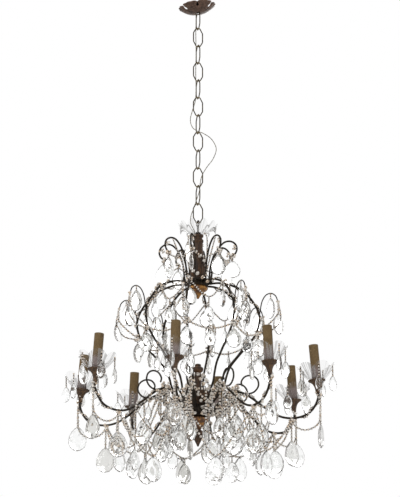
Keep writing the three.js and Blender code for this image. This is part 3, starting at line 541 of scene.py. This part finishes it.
# Glass crown
# A pressed glass dish with ten pointed petals that stands on the column like a small crown, with the rod and
# the flex passing through its base. Its thin glass is nearly clear; its grey edges and rib streaks are
# painted reflections.


def petal_dish_form(bore, base, rim, rise, wall, petals, point, per_petal=16, rings=9, ribbing=0.012):
    """A flared dish whose rim is cut into petals, each petal cupped and pressed with ribs."""
    around = petals * per_petal
    turns = [2 * math.pi * k / around for k in range(around)]
    outer, inner = [], []
    for ring in range(rings):
        t = ring / (rings - 1)
        for a in turns:
            petal = abs(math.cos(a * petals / 2))
            rib = math.cos(a * petals * 4)
            r = base + (rim - base) * t**0.75
            r *= 1 - t**2 * 0.07 * (1 - petal) + t * ribbing * rib
            height = rise * t**1.25 * (1 - t**3 * point * (1 - petal) ** 1.4)
            thick = wall * (1 - 0.5 * t)
            outer.append(polar(r, a, height))
            inner.append(polar(r - thick * 0.6, a, height + thick * (1 - 0.75 * t)))

    def circle(radius, height):
        return [polar(radius, a, height) for a in turns]

    loops = [circle(bore, 0)] + [outer[i * around : (i + 1) * around] for i in range(rings)]
    loops += [inner[i * around : (i + 1) * around] for i in reversed(range(1, rings))]
    loops += [circle(base * 0.9, wall), circle(bore, wall)]
    return np.array([p for loop in loops for p in loop]), skin(len(loops), around)


rng = np.random.RandomState(7)


def rib_streaks(form, petals, per_petal=16):
    """Painted reflection streaks, one grey per rib of a dish, dark beside each notch, running from base to
    rim.
    """
    around = petals * per_petal
    ribs = rng.uniform(0, 0.95, around)
    for k in range(around):
        if abs(k % per_petal + 0.5 - per_petal / 2) < 1:
            ribs[k] = 1.0
    return [ribs[k % around] for k in range(len(form[1]))]


# The grey of this thin glass shows only where its alpha rises, at grazing edges and rib streaks: painted
# reflections.
thin_glass = Finish("thin_crown_glass", Base_Color=(0.36, 0.35, 0.34, 1), Roughness=0.12)
slant = thin_glass.slant()
streak = thin_glass.grey("facet")
thin_glass.feed("Alpha", 0.05 + slant.above(0.45, 0.95) * 0.3 + streak.above(0.6, 1.0) * 0.35)
crown_form = petal_dish_form(4.4, 15, 56, 33, 3.0, 10, 0.8, per_petal=12, ribbing=0.002)
crown_streaks = rib_streaks(crown_form, 10, 12)
crown_set = raised(crown_form, -706.7)
piece("glass_crown", crown_set, thin_glass, ["crown_glass"], sharp=35, facets=crown_streaks)

# Column
# A turned wooden baluster, stained dark brown, with patches of worn gilding. The rod runs through it. Strings
# of square glass beads are wound round it, and strings of small ones hang beside it.
stained_wood = Finish("dark_stained_wood", Specular_IOR_Level=0.3, Coat_Weight=0.08, Coat_Roughness=0.4)
wood_fibre = stained_wood.mottle(260, 6.0, stained_wood.stretched((1, 1, 0.07)), 0.6)
wood_cloud = stained_wood.mottle(38, 3.0)
stained_wood.coloured(
    (0.02, 0.01, 0.005, 1), (0.085, 0.042, 0.019, 1), wood_fibre.above(0.35, 0.7),
    (0.22, 0.1, 0.035, 1), wood_cloud.above(0.52, 0.72) * 0.4,
)
stained_wood.feed("Roughness", 0.5 + wood_fibre * 0.25)
stained_wood.relief(wood_fibre, 0.3, 0.0006)

column_profile = [
    (4.4, 0), (14.2, 0), (15.5, -1.2), (15.5, -5), (14.6, -6.6), (12.6, -8.6), (12.2, -11), (12.8, -13),
    (15.4, -15), (16, -17.5), (16, -20), (14.6, -23), (13, -25.4), (13, -30), (14.4, -45), (16, -60),
    (18, -75), (20, -90), (21.5, -102), (22, -110), (21.8, -116), (20, -121), (17.4, -125), (17, -127),
    (18.8, -130), (19, -135), (4.4, -135), (4.4, 0),
]
column_form = raised(turned(column_profile[::-1], 40), -707)
piece("turned_column", column_form, stained_wood, ["upper_column"])


def glass(name, clear, smoky, edge, roughness, through, dark_from, bending):
    """Clear where it faces the eye; its dark edges and facet greys are painted reflections; a grey for each
    drop.
    """
    made = Finish(name, Roughness=roughness, IOR=bending, Transmission_Weight=through)
    slant = made.slant()
    facet = made.grey("facet")
    own = made.grey("shade")
    tint = made.blend(clear, smoky, own.above(0.45, 1.0))
    # The facet greys and the darkened edges are painted reflections: they stand in for the dark frame seen in
    # the glass.
    cut = made.blend(tint, edge, facet.above(0.6, 1.0) * 0.85)
    made.feed("Base Color", made.blend(cut, edge, slant.above(dark_from, dark_from + 0.4) * 0.9))
    return made


# The third colour of each glass is the painted reflection laid on its edges and dark facets.
cut_glass = glass(
    "clear_cut_glass", (0.97, 0.975, 0.97, 1), (0.74, 0.735, 0.71, 1), (0.27, 0.25, 0.235, 1),
    roughness=0.06, through=0.96, dark_from=0.38, bending=1.33,
)
bead_glass = glass(
    "warm_bead_glass", (0.99, 0.94, 0.87, 1), (0.85, 0.68, 0.51, 1), (0.055, 0.028, 0.015, 1),
    roughness=0.1, through=0.2, dark_from=0.66, bending=1.46,
)
pin_wire = Finish("brown_pin_wire", Specular_IOR_Level=0.15)
pin_age = pin_wire.mottle(300, 3.0)
pin_tint = pin_wire.blend((0.012, 0.006, 0.003, 1), (0.05, 0.025, 0.012, 1), pin_age.above(0.4, 0.7))
pin_wire.feed("Base Color", pin_tint)
pin_wire.feed("Roughness", 0.5 + pin_age * 0.3)


def bead_form(radius, length, sides=6):
    profile = [(0, -0.5), (0.5, -0.5), (1.0, -0.18), (1.0, 0.18), (0.5, 0.5), (0, 0.5)]
    return turned([(r * radius, z * length) for r, z in profile], sides)


cut_bead = bead_form(3.3, 5.6)
small_bead = bead_form(2.6, 4.2)
square_bead = bead_form(6.0, 8.0, 4)
pin_loop = bead_form(1.9, 3.8, 5)


def drop_form(length, width, thickness, sides=14):
    """A flat pear cut in facets, hanging from its tip at the origin. Its broad face looks along X."""
    rings = []
    for scale, depth, shift in ((0.44, 0.5, 0.5), (0.73, 0.4, 0), (0.93, 0.2, 0.5), (1.0, 0.0, 0)):
        ring = []
        for k in range(sides):
            a = 2 * math.pi * (k + shift) / sides
            rise = math.cos(a)
            y = width / 2 * math.sin(a) * (1 - 0.34 * max(0.0, rise) ** 2)
            z = length * (0.57 * rise if rise > 0 else 0.43 * rise)
            ring.append((depth * thickness, y * scale, z * scale - length * 0.57))
        rings.append(ring)
    rings += [[(-x, y, z) for x, y, z in ring] for ring in rings[2::-1]]
    points = [p for ring in rings for p in ring]
    faces = [tuple(reversed(range(sides)))]
    for i in range(6):
        a, b = i * sides, (i + 1) * sides
        for k in range(sides):
            n = (k + 1) % sides
            apex, foot = (b + k, a + n) if i % 2 else (b + n, a + k)
            faces += [(a + k, a + n, apex), (foot, b + n, b + k)]
    faces.append(tuple(range(6 * sides, 7 * sides)))
    return np.array(points), faces


def bead_facets(bead):
    """Painted highlight and shade on each facet of a bead: bright shoulders and a mostly dark belt."""
    count = len(bead[1])
    facets = rng.uniform(0.0, 0.72, count)
    belt = slice(count * 2 // 5, count * 3 // 5)
    facets[belt] = rng.uniform(0.62, 1.0, belt.stop - belt.start)
    return facets


def drop_facets(sides=14):
    """Painted reflections on each facet of a drop: clear tables, mixed ones round them, a dark bevel at the
    rim.
    """
    rows = [rng.uniform(0.0, 0.8, 2 * sides) for _ in range(6)]
    for k in (2, 3):
        rows[k] = rng.uniform(0.78, 0.95, 2 * sides)
    return np.concatenate([[0.1], *rows, [0.1]])


class Hangings:
    """Gathers the beads, drops and pins of one garland, and makes one piece of each kind at the end."""

    def __init__(self, name, adds=False):
        self.name = name
        self.replaces = [] if adds else [name]
        self.beads, self.drops, self.pins = [], [], []

    def aligned(self, form, centre, way):
        turn = Vector(way).to_track_quat("Z", "Y").to_matrix().to_4x4()
        spin = Matrix.Rotation(rng.uniform(0, math.pi), 4, "Z")
        return moved(form, Matrix.Translation(Vector(centre)) @ turn @ spin)

    def run(self, points, bead, pitch, pin_radius=0.35):
        """Beads strung along a smooth line, with a loop of the pin wire between each bead and the next."""
        line = smooth_line(points, pitch)
        for centre, way in zip(line, directions(line)):
            form = self.aligned(bead, centre, way)
            self.beads.append((form, rng.uniform(0, 1), bead_facets(bead)))
        self.pins.append(swept(line, round_section(pin_radius, 4)))
        for start, end in zip(line, line[1:]):
            self.pins.append(self.aligned(pin_loop, (start + end) / 2, end - start))

    def swag(self, stations, angle, bead, pitch):
        """A string through (radius, height, share) stations, where a share of 1 is at the next light."""
        self.run([at(r, h, angle + LIGHT_STEP * share) for r, h, share in stations], bead, pitch)

    def cluster(self, centre, count, spread, bead):
        """A tight knot of beads wired round a joint."""
        for _ in range(count):
            away = Vector(rng.normal(0, 1, 3))
            away *= spread / away.length * rng.uniform(0.6, 1.0)
            form = self.aligned(bead, Vector(centre) + away, away)
            self.beads.append((form, rng.uniform(0.3, 1), bead_facets(bead)))
            tie = np.array([centre, Vector(centre) + away])
            self.pins.append(swept(tie, round_section(0.5, 4)))

    def drop(self, top, string, size, faces_to, bead, pitch=9.0):
        """A drop of (length, width, thickness) that hangs by a string of beads and faces one way in plan."""
        x, y, z = top
        if string > 3:
            self.run([(x, y, z), (x, y, z - string / 2), (x, y, z - string)], bead, pitch)
        place = Matrix.Translation((x, y, z - string)) @ Matrix.Rotation(math.radians(faces_to), 4, "Z")
        self.drops.append((moved(drop_form(*size), place), rng.uniform(0, 1), drop_facets()))
        pin = [(x, y, z - string + 2.5), (x, y, z - string - size[0] * 0.08)]
        self.pins.append(swept(np.array(pin), round_section(0.7, 5)))
        self.pins.append(moved(pin_loop, Matrix.Translation((x, y, z - string + 0.5))))

    def glass_piece(self, kind, parts, finish):
        form = merged([part for part, _, _ in parts])
        shades = [shade for part, shade, _ in parts for _ in part[0]]
        facets = np.concatenate([facets for _, _, facets in parts])
        piece(self.name + kind, form, finish, self.replaces, "chandelier", 0, shades, facets)

    def finish(self):
        self.glass_piece("_beads", self.beads, bead_glass)
        self.glass_piece("_drops", self.drops, cut_glass)
        piece(self.name + "_pins", merged(self.pins), pin_wire, self.replaces)


LAMPS = -1140.0


def at(radius, height, angle):
    """A point in the upright plane at an angle, with its height counted from the cup rims."""
    return polar(radius, angle, LAMPS + height)


STRING_OUT = 24.5
column_strings = Hangings("column_strings", adds=True)
for start, end, high, low, reach in (
    (-165, -15, 402, 340, STRING_OUT), (-145, -58, 340, 285, 50), (60, 200, 410, 340, STRING_OUT),
):
    coil = []
    for t in np.linspace(0, 1, 12):
        spread = STRING_OUT + (reach - STRING_OUT) * min(1, 1.6 * t)
        coil.append(at(spread, high + (low - high) * t, math.radians(start + (end - start) * t)))
    column_strings.run(coil, square_bead, 17.0)
column_strings.run([(-9, -13, -711), (-18, -25, -714), (-27, -38, -722)], small_bead, 7.0)
column_strings.drop((-27, -38, -722), 14, (62, 22, 8), -70, small_bead, 7.0)
for degrees, foot in ((-40, 344), (100, 352)):
    a = math.radians(degrees)
    column_strings.run([at(24, 434, a), at(32, 424, a), at(32, foot, a)], small_bead, 7.6)
column_strings.finish()

# Upper scrolls
# Eight wires stand in a small iron plate under the column, rise beside it and curl over and down like the
# fronds of a fern. Each ends in a tight curl.
LIGHT_ANGLES = [math.radians(-100.3 + 45 * k) for k in range(8)]
LIGHT_STEP = math.radians(45)


def in_plane(pairs, angle):
    return [at(radius, height, angle) for radius, height in pairs]


scroll_pairs = [
    (37, 295.2), (39, 312), (41, 336), (48, 365), (60, 392), (77, 408), (94, 409), (107, 400), (111, 385),
    (104, 370), (94, 366),
]
scroll_plate = turned([(4.4, -5), (39.5, -5), (41, -4), (41, -1), (39.5, 0), (4.4, 0), (4.4, -5)], 48)
scroll_parts = [raised(scroll_plate, -842.3)]
scroll_parts += [wire(in_plane(scroll_pairs, angle), 2.6) for angle in LIGHT_ANGLES]
piece("upper_scrolls", merged(scroll_parts), dark_iron, ["scroll_crown"])

# Cage
# Eight iron wires bow out from the upper plate and draw in again to the boss that carries the arms. An ear of
# thinner wire is bound to each at its widest place and loops outwards.
RIB_WIRE = 3.0
EAR_WIRE = 1.6
CAGE_REACH = 173
BINDING_REACH = 3.3
BINDING_STEPS = 43
BINDING_TURN = 1.25


def scaled(reach, pairs):
    return [(reach * share, height) for share, height in pairs]


rib_shares = [
    (0.566, 279), (0.74, 262), (0.896, 230), (0.983, 200), (1, 175), (0.948, 140), (0.809, 106), (0.647, 74),
    (0.52, 46), (0.462, 20), (0.428, -2), (0.347, -26), (0.254, -48),
]
rib_pairs = [(24, 286.9), (62, 288.9), *scaled(CAGE_REACH, rib_shares), (18, -66)]
ear_pairs = [(172, 178), (176, 206), (182, 232), (193, 248), (207, 252), (219, 244), (225, 229)]
cage_plate = [
    (4.4, -11), (27, -11), (30, -9), (30, -6.5), (28, -5.5), (30, -4.5), (30, -1.5), (28.5, 0), (4.4, 0),
    (4.4, -11),
]
boss_profile = [
    (4.4, -34), (20, -34), (23.6, -31), (23.6, -27), (22, -25.5), (23.6, -24), (23.6, -8), (22, -6),
    (23.6, -4), (21, 0), (4.4, 0), (4.4, -34),
]
cage_parts = [raised(turned(cage_plate, 48), -847.6), raised(turned(boss_profile, 48), -1198)]
for angle in LIGHT_ANGLES:
    cage_parts.append(wire(in_plane(rib_pairs, angle), RIB_WIRE, 5.0))
    cage_parts.append(wire(in_plane(ear_pairs, angle), EAR_WIRE, 3.5))
    foot, top = np.array(in_plane([(173.6, 166), (174.2, 190)], angle))
    out = np.array(polar(1, angle, 0))
    side = np.array([-math.sin(angle), math.cos(angle), 0])
    binding = []
    for k in range(BINDING_STEPS + 1):
        a = BINDING_TURN * k
        around_rib = BINDING_REACH * (math.cos(a) * out + math.sin(a) * side)
        binding.append(foot + (top - foot) * k / BINDING_STEPS + around_rib)
    cage_parts.append(swept(np.array(binding), round_section(0.5, 5)))
piece("wire_cage", merged(cage_parts), dark_iron, ["cage_frame"])

# Gilded cone
# A turned boss of gilded wood that closes the cage's top from below and hides the nut. The gold has worn
# through in patches to its red-brown ground.
gilding = Finish("worn_gilding")
gold_wear = gilding.mottle(95, 6.0, roughness=0.65)
gold_grime = gilding.mottle(420, 4.0)
gold_mask = gold_wear.above(0.4, 0.62)
gilding.coloured(
    (0.07, 0.025, 0.01, 1), (0.42, 0.2, 0.05, 1), gold_mask,
    (0.03, 0.015, 0.008, 1), gold_grime.above(0.5, 0.72) * 0.75,
)
gilding.feed("Metallic", gold_mask * 0.75)
gilding.feed("Roughness", 0.55 - gold_mask * 0.22)
gilding.relief(gold_wear, 0.35, 0.0008)


def fluted(profile, around, flutes, depth):
    """A turned form whose skin swells and dips in flutes round the axis."""
    points, faces = turned(profile, around)
    radius = np.hypot(points[:, 0], points[:, 1])
    angle = np.arctan2(points[:, 1], points[:, 0])
    scale = 1 - depth * (1 - np.abs(np.cos(angle * flutes / 2)))
    full = radius > 6
    points[full, :2] *= scale[full, None]
    return points, faces


cone_profile = [
    (0, -36), (2.5, -34.5), (6, -28), (13, -18.5), (18, -14), (21, -13), (24, -11), (27.4, -8), (28, -5),
    (27, -2), (25, 0), (4.4, 0), (4.4, -16), (0, -16),
]
cone_form = raised(fluted(cone_profile, 64, 16, 0.06), -858.9)
piece("gilded_cone_boss", cone_form, gilding, ["gilded_cone"])

# Arms
# Each arm is one iron wire: from the boss it rises to a crest, sweeps down and out, and turns up under its
# candle. A round curl is bound to it at the crest, and it carries the porcelain lampholder on its end.
LEAN = math.radians(4.5)
RING_REACH = 330
arm_shares = [
    (0.982, -72), (0.933, -91), (0.864, -101), (0.782, -104), (0.7, -99), (0.624, -86), (0.545, -67),
    (0.464, -46), (0.385, -29), (0.312, -23), (0.248, -31), (0.188, -52), (0.136, -73),
]
arm_pairs = [(RING_REACH - h * math.sin(LEAN), h * math.cos(LEAN)) for h in (4, -20, -46)]
arm_pairs += [*scaled(RING_REACH, arm_shares), (29.9, -80), (24.4, -80)]
curl_shares = [
    (0.358, -26), (0.415, -31), (0.476, -26), (0.512, -9), (0.5, 10), (0.452, 20), (0.397, 17), (0.367, 3),
    (0.376, -9),
]
curl_pairs = scaled(RING_REACH, curl_shares)
holder_profile = [
    (0, -3.7), (10.4, -3.7), (11, -3), (11, 70), (10.2, 72), (10.6, 74), (11, 86), (10, 88), (7, 88), (7, 62),
    (0, 62),
]


def candle_place(angle):
    upright = Matrix.Translation((RING_REACH, 0, LAMPS)) @ Matrix.Rotation(-LEAN, 4, "Y")
    return Matrix.Rotation(angle, 4, "Z") @ upright


for n, angle in enumerate(LIGHT_ANGLES, 1):
    arm = wire(in_plane(arm_pairs, angle), RIB_WIRE, 5.0)
    curl = wire(in_plane(curl_pairs, angle), 2.4, 3.5)
    piece("arm_wire_%d" % n, merged([arm, curl]), dark_iron, ["arm_%d" % n])
    holder = moved(turned(holder_profile, 20), candle_place(angle))
    piece("lampholder_%d" % n, holder, glazed)

# Cups
# A turned wooden cup under each candle, stained brown with traces of gilding. It flares from a narrow stem to
# a flat dished rim.
cup_profile = [
    (3.9, -37), (5, -37), (5.6, -34), (6.4, -28), (8, -21), (10, -15.5), (13, -10.5), (18, -6.4), (22.6, -4),
    (24, -2.4), (23.6, -0.4), (22.4, 0), (15.5, 0), (15.5, -4), (3.9, -4), (3.9, -37),
]
cup_wood = Finish("worn_gilt_wood", Specular_IOR_Level=0.35, Coat_Weight=0.1, Coat_Roughness=0.35)
cup_fibre = cup_wood.mottle(220, 5.0)
cup_wear = cup_wood.mottle(70, 4.0)
cup_wood.coloured(
    (0.03, 0.015, 0.007, 1), (0.105, 0.055, 0.024, 1), cup_fibre.above(0.35, 0.68),
    (0.22, 0.125, 0.05, 1), cup_wear.above(0.55, 0.75) * 0.45,
)
cup_wood.feed("Roughness", 0.45 + cup_fibre * 0.25)
cup_wood.relief(cup_fibre, 0.3, 0.0005)
for n, angle in enumerate(LIGHT_ANGLES, 1):
    cup_form = moved(turned(cup_profile), candle_place(angle))
    piece("turned_cup_%d" % n, cup_form, cup_wood, ["cup_%d" % n])

# Glass dishes
# A pressed glass dish of six ribbed petals stands on each cup round the candle. Five strings of small beads
# hang from its rim, each with a small flat pear-shaped drop.
dish_form = petal_dish_form(14.0, 19, 53, 42, 3.0, 6, 0.36)
for n, angle in enumerate(LIGHT_ANGLES, 1):
    place = candle_place(angle) @ Matrix.Translation((0, 0, 0.3))
    dish_set = moved(dish_form, place)
    name = "petal_dish_%d" % n
    streaks = rib_streaks(dish_form, 6)
    piece(name, dish_set, thin_glass, ["glass_dish_%d" % n], sharp=35, facets=streaks)
    pendants = Hangings(name + "_pendants", adds=True)
    for k in range(5):
        turn = 2 * math.pi * k / 5
        hole = place @ Vector(polar(47, turn, 34))
        size = (44 + rng.uniform(-2, 3), 25 + rng.uniform(-2, 2), 8)
        pendants.drop(tuple(hole), 30 + rng.uniform(-6, 4), size, rng.uniform(-150, -30), small_bead, 8.0)
    pendants.finish()

# Candle sleeves
# A plain card tube, olive tan with darker patches, slipped over each lampholder like a candle. Its lower end,
# behind the glass dish, is painted mauve grey: painted shade for the dish's tinted glass in front of it.
old_card = Finish("olive_card", Specular_IOR_Level=0.25)
card_fibre = old_card.mottle(900, 5.0, old_card.stretched((1, 1, 0.25)))
card_cloud = old_card.mottle(45, 4.0)
card_height = old_card.node("ShaderNodeSeparateXYZ", {}, {0: old_card.place()}, "Z")
card_tint = old_card.blend((0.115, 0.074, 0.032, 1), (0.185, 0.125, 0.058, 1), card_fibre.above(0.35, 0.65))
card_aged = old_card.blend(card_tint, (0.07, 0.042, 0.018, 1), card_cloud.above(0.5, 0.75) * 0.6)
# Below the dish rim the card is painted mauve grey: painted shade standing in for the glass dish in front of
# it.
card_painted_dish_shade = (card_height + card_cloud * 0.02).above(-1.108, -1.088)
old_card.feed("Base Color", old_card.blend((0.24, 0.19, 0.18, 1), card_aged, card_painted_dish_shade))
old_card.feed("Roughness", 0.7 + card_fibre * 0.2)
old_card.relief(card_fibre, 0.3, 0.0003)
sleeve_profile = [
    (11.8, -3.7), (12.7, -3.7), (13, -3.2), (13, 97.6), (12.7, 98.4), (12.2, 98.5), (11.8, 98), (11.8, -3.7),
]
for n, angle in enumerate(LIGHT_ANGLES, 1):
    sleeve = moved(turned(sleeve_profile), candle_place(angle))
    piece("card_sleeve_%d" % n, sleeve, old_card, ["candle_sleeve_%d" % n], "sleeve_%d" % n)

# Spindle
# A turned wooden baluster inside the ring of arms, with a swelling foot that sits on the boss.
spindle_profile = [
    (0, 44), (4.4, 44), (4.4, 0), (20, 0), (21.5, 2), (21.5, 5), (26, 8), (30, 15), (33, 24), (33, 32),
    (30, 37), (22, 42), (17, 44), (12, 50), (9.5, 56), (9, 62), (9.4, 70), (10, 78), (9, 86), (8, 92),
    (12, 94.5), (14, 97), (15, 101), (15, 105), (11, 108), (8, 110), (9, 113), (7, 116), (0, 116.7),
]
spindle_form = raised(turned(spindle_profile, 40), -1197.7)
piece("turned_spindle", spindle_form, stained_wood, ["spindle"])

# Finial
# A gilded fluted bowl under the boss, drawn up against it by a rod of its own, and a dark pointed drop of
# turned wood under the bowl.
FINIAL_TOP = -1232.3
bowl_profile = [
    (0, -31), (8, -32), (10, -30), (16, -27), (22, -20), (26, -14), (27.8, -9), (28, -5), (25, -2), (17, 0),
    (4, 0), (4, 76), (0, 76),
]
tip_profile = [
    (0, -81), (2.5, -80), (4, -75), (7, -69), (10, -63), (13.5, -55), (15, -48), (14.6, -43), (13, -38),
    (9, -34), (8, -32), (0, -31.5),
]
bowl_form = raised(fluted(bowl_profile, 64, 12, 0.07), FINIAL_TOP)
piece("gilded_bowl", bowl_form, gilding, ["bottom_finial"])
tip_form = raised(turned(tip_profile), FINIAL_TOP)
piece("finial_drop", tip_form, stained_wood, ["bottom_finial"])

# Top garland
# Short swags of small beads run from scroll to scroll. Each scroll has two knots of beads in its curl, and a
# flat pear-shaped drop hangs from it.
top_drops = [
    (52, 17, 9, -30), (60, 40, 11, -100), (50, 44, 11, -85), (58, 38, 11, -60), (54, 38, 11, -120),
    (56, 36, 11, -75), (58, 42, 11, -95), (62, 36, 11, -50),
]
top = Hangings("top_garland")
for n, angle in enumerate(LIGHT_ANGLES):
    top.swag([(99, 360, 0), (90, 344, 0.5), (99, 360, 1)], angle, small_bead, 7.6)
    *size, faces_to = top_drops[n]
    top.drop(at(99, 360, angle), 8, size, faces_to, small_bead, 7)
    top.cluster(at(99, 366, angle), 14, 8, cut_bead)
    top.cluster(at(104, 392, angle), 6, 7, cut_bead)
    if n % 2:
        top.run(in_plane([(84, 405), (58, 352), (40, 306)], angle), small_bead, 7.6)
top.finish()

# Upper garland
# Swags of beads link the ribs at the widest part of the cage, with a rosette of beads at each binding. Beads
# are wound along the shoulders of all ribs but the front one, and two strings fall from the tip of each ear.


def wound(pairs, angle, radius, turns):
    """A loose helix round a wire that lies in the upright plane at an angle."""
    line = smooth_line(in_plane(pairs, angle), 4.0)
    side = np.array([-math.sin(angle), math.cos(angle), 0])
    coil = []
    for k, (centre, way) in enumerate(zip(line, directions(line))):
        a = 2 * math.pi * turns * k / (len(line) - 1)
        coil.append(centre + radius * (math.cos(a) * side + math.sin(a) * np.cross(side, way)))
    return coil


wide_swag = [(171, 140, 0), (163, 126, 0.25), (158, 121, 0.5), (163, 126, 0.75), (171, 140, 1)]
knot_faces = [-60, -85, -110, -150, 160, 20, -30, -88]
upper = Hangings("upper_garland")
for n, angle in enumerate(LIGHT_ANGLES):
    between = angle + LIGHT_STEP / 2
    knot, tip = at(171, 140, angle), at(226, 228, angle)
    upper.swag(wide_swag, angle, cut_bead, 9.4)
    upper.swag([(126, 266, 0), (142, 214, 0.5), (126, 266, 1)], angle, small_bead, 7.6)
    if n:
        upper.run(wound(rib_pairs[1:6], angle, 6.5, 3), small_bead, 8.4)
    upper.run([tip, *in_plane([(227, 196), (206, 170)], angle), knot], cut_bead, 9.0)
    upper.run([tip, *in_plane([(232, 176), (208, 146), (170, 136)], angle)], small_bead, 7.6)
    upper.cluster(knot, 16, 10, cut_bead)
    upper.cluster(at(177, 178, angle), 5, 5, small_bead)
    upper.drop(at(171, 134, angle), 10, (54, 42, 12), knot_faces[n], small_bead, 7.0)
    upper.cluster(at(128, 266, angle), 9, 9, cut_bead)
    upper.cluster(tip, 4, 4, small_bead)
    wide = 34 + rng.uniform(-3, 6)
    upper.drop(at(226, 224, angle), 31, (60, wide + 4, 14), rng.uniform(-160, -20), cut_bead, 9.0)
    if n:
        slim = 100 if n == 1 else 60
        upper.drop(at(205, 249, angle), 10, (slim, 33, 11), rng.uniform(-150, -20), small_bead, 7)
    upper.drop(at(120, 262, angle), 16, (50, wide, 11), rng.uniform(-170, -10), small_bead, 7.4)
    upper.drop(at(142, 214, between), 26, (44, 31, 10), rng.uniform(-160, -20), small_bead, 7.4)
    upper.drop(at(160, 128, between), 12, (46, 34, 11), rng.uniform(-180, 0), small_bead, 7.4)
upper.finish()

# Bead basket
# Strings of beads hang close together from a hoop at the crests of the arms and draw in to the gilded bowl,
# with a gap at the front, and more are wound round the spindle. Large drops hang from the hoop.
hoop_faces = [-14, -70, -100, -160, 170, 30, -100, -62]
basket = Hangings("bead_basket")
for k in range(16):
    angle = LIGHT_ANGLES[0] + LIGHT_STEP * (k + 0.5) / 2
    bulge = rng.uniform(-4, 4)
    strand = in_plane([(104, -34), (92 + bulge, -56), (66 + bulge, -74), (44, -82), (31, -86)], angle)
    if k:
        basket.run(strand, square_bead if k % 2 else cut_bead, 13.0)
WRAP_STEP = 0.26
spindle_wrap = [(19, 26), (27, 10), (37, -10), (43, -34), (42, -60), (33, -86)]
for k in range(8):
    start = LIGHT_STEP * k
    strand = [at(*pair, start + WRAP_STEP * step) for step, pair in enumerate(spindle_wrap)]
    basket.run(strand, square_bead, 17.0)
HOOP = (104, -34)
hoop = [at(*HOOP, a) for a in np.linspace(0, 2 * math.pi, 33)]
basket.run(hoop, cut_bead, 9.0)
middle_drops = {0: (33, 71, -95), 1: (40, 60, -60), 3: (50, 64, -80), 5: (44, 58, -120), 7: (42, 66, -85)}
for n, angle in enumerate(LIGHT_ANGLES):
    between = angle + LIGHT_STEP / 2
    basket.cluster(at(106, -18, angle), 22, 13, cut_bead)
    basket.cluster(at(132, -34, angle), 9, 9, cut_bead)
    basket.drop(at(*HOOP, between), 94 + rng.uniform(-8, 0), (68, 48, 14), hoop_faces[n], cut_bead, 9.2)
    basket.swag([(106, -18, 0), (126, -70, 0.5), (106, -18, 1)], angle, cut_bead, 9.2)
    if n in middle_drops:
        width, length, faces_to = middle_drops[n]
        basket.drop(at(*HOOP, angle), 74, (length, width, 12), faces_to, cut_bead, 9.2)
        if n:
            basket.drop(at(*HOOP, angle + 0.12), 140, (46, 30, 10), faces_to + 30, small_bead, 7.8)
basket.finish()

# Lower garland
# The longest strings: beads are wound along each arm and loop under it, and deep swags hang from arm to arm.
# The largest drops hang at the stems, at the low bend of the arms, inside it and from each deep swag.
swag_lows = [240 * share for share in (1, 0.86, 0.72, 0.69, 0.69, 0.71, 0.76, 0.98)]
stem_strings = [70, 56, 74, 78, 74, 70, 58, 76]
stem_faces = [-92, -45, -12, -70, -100, -120, -82, -130]
bend_faces = [-40, -88, -50, -75, -100, -60, -95, -88]
under_arm = [(339, -80), (332, -122), (299, -138), (271, -128), (259, -112)]
to_basket = [(257, -108), (226, -158), (184, -166), (146, -112), (118, -36)]
inner_swag = [(203, -92, 0), (186, -146, 2 / 9), (176, -172, 0.5), (186, -146, 7 / 9), (203, -92, 1)]
lower = Hangings("lower_garland")
for n, angle in enumerate(LIGHT_ANGLES):
    between = angle + LIGHT_STEP / 2
    low = swag_lows[n]
    bend = at(259, -108, angle)
    lower.run(wound(arm_pairs[1:6], angle, 6.0, 2), cut_bead, 9.2)
    lower.run(wound(arm_pairs[8:14], angle, 6.0, 2.5), cut_bead, 9.2)
    lower.run(in_plane(under_arm, angle), cut_bead, 9.4)
    level = (-112 - low) / 2 - low * 0.05
    deep = [(259, -108, 0), (238, level, 0.25), (218, -low, 0.5), (238, level, 0.75), (259, -108, 1)]
    lower.swag(deep, angle, cut_bead, 9.4)
    lower.swag(inner_swag, angle, small_bead, 7.8)
    lower.run(in_plane(to_basket, angle), cut_bead, 9.4)
    lower.cluster(at(336, -42, angle), 8, 8, cut_bead)
    lower.cluster(bend, 8, 7, cut_bead)
    lower.drop(at(339, -48, angle), stem_strings[n], (68, 51, 14), stem_faces[n], cut_bead, 9.0)
    lower.drop(bend, 60 + rng.uniform(-6, 2), (70, 52, 14), bend_faces[n], cut_bead, 9.0)
    lower.drop(at(218, -low, between), 2, (68, 50, 14), rng.uniform(-145, -35), cut_bead, 9.0)
    lower.drop(at(176, -172, between), 14, (60, 43, 12), rng.uniform(-160, -20), small_bead, 7.8)
    lower.drop(at(176, -70, angle), 44, (74, 49, 13), rng.uniform(-150, -30), cut_bead, 9.0)
lower.finish()
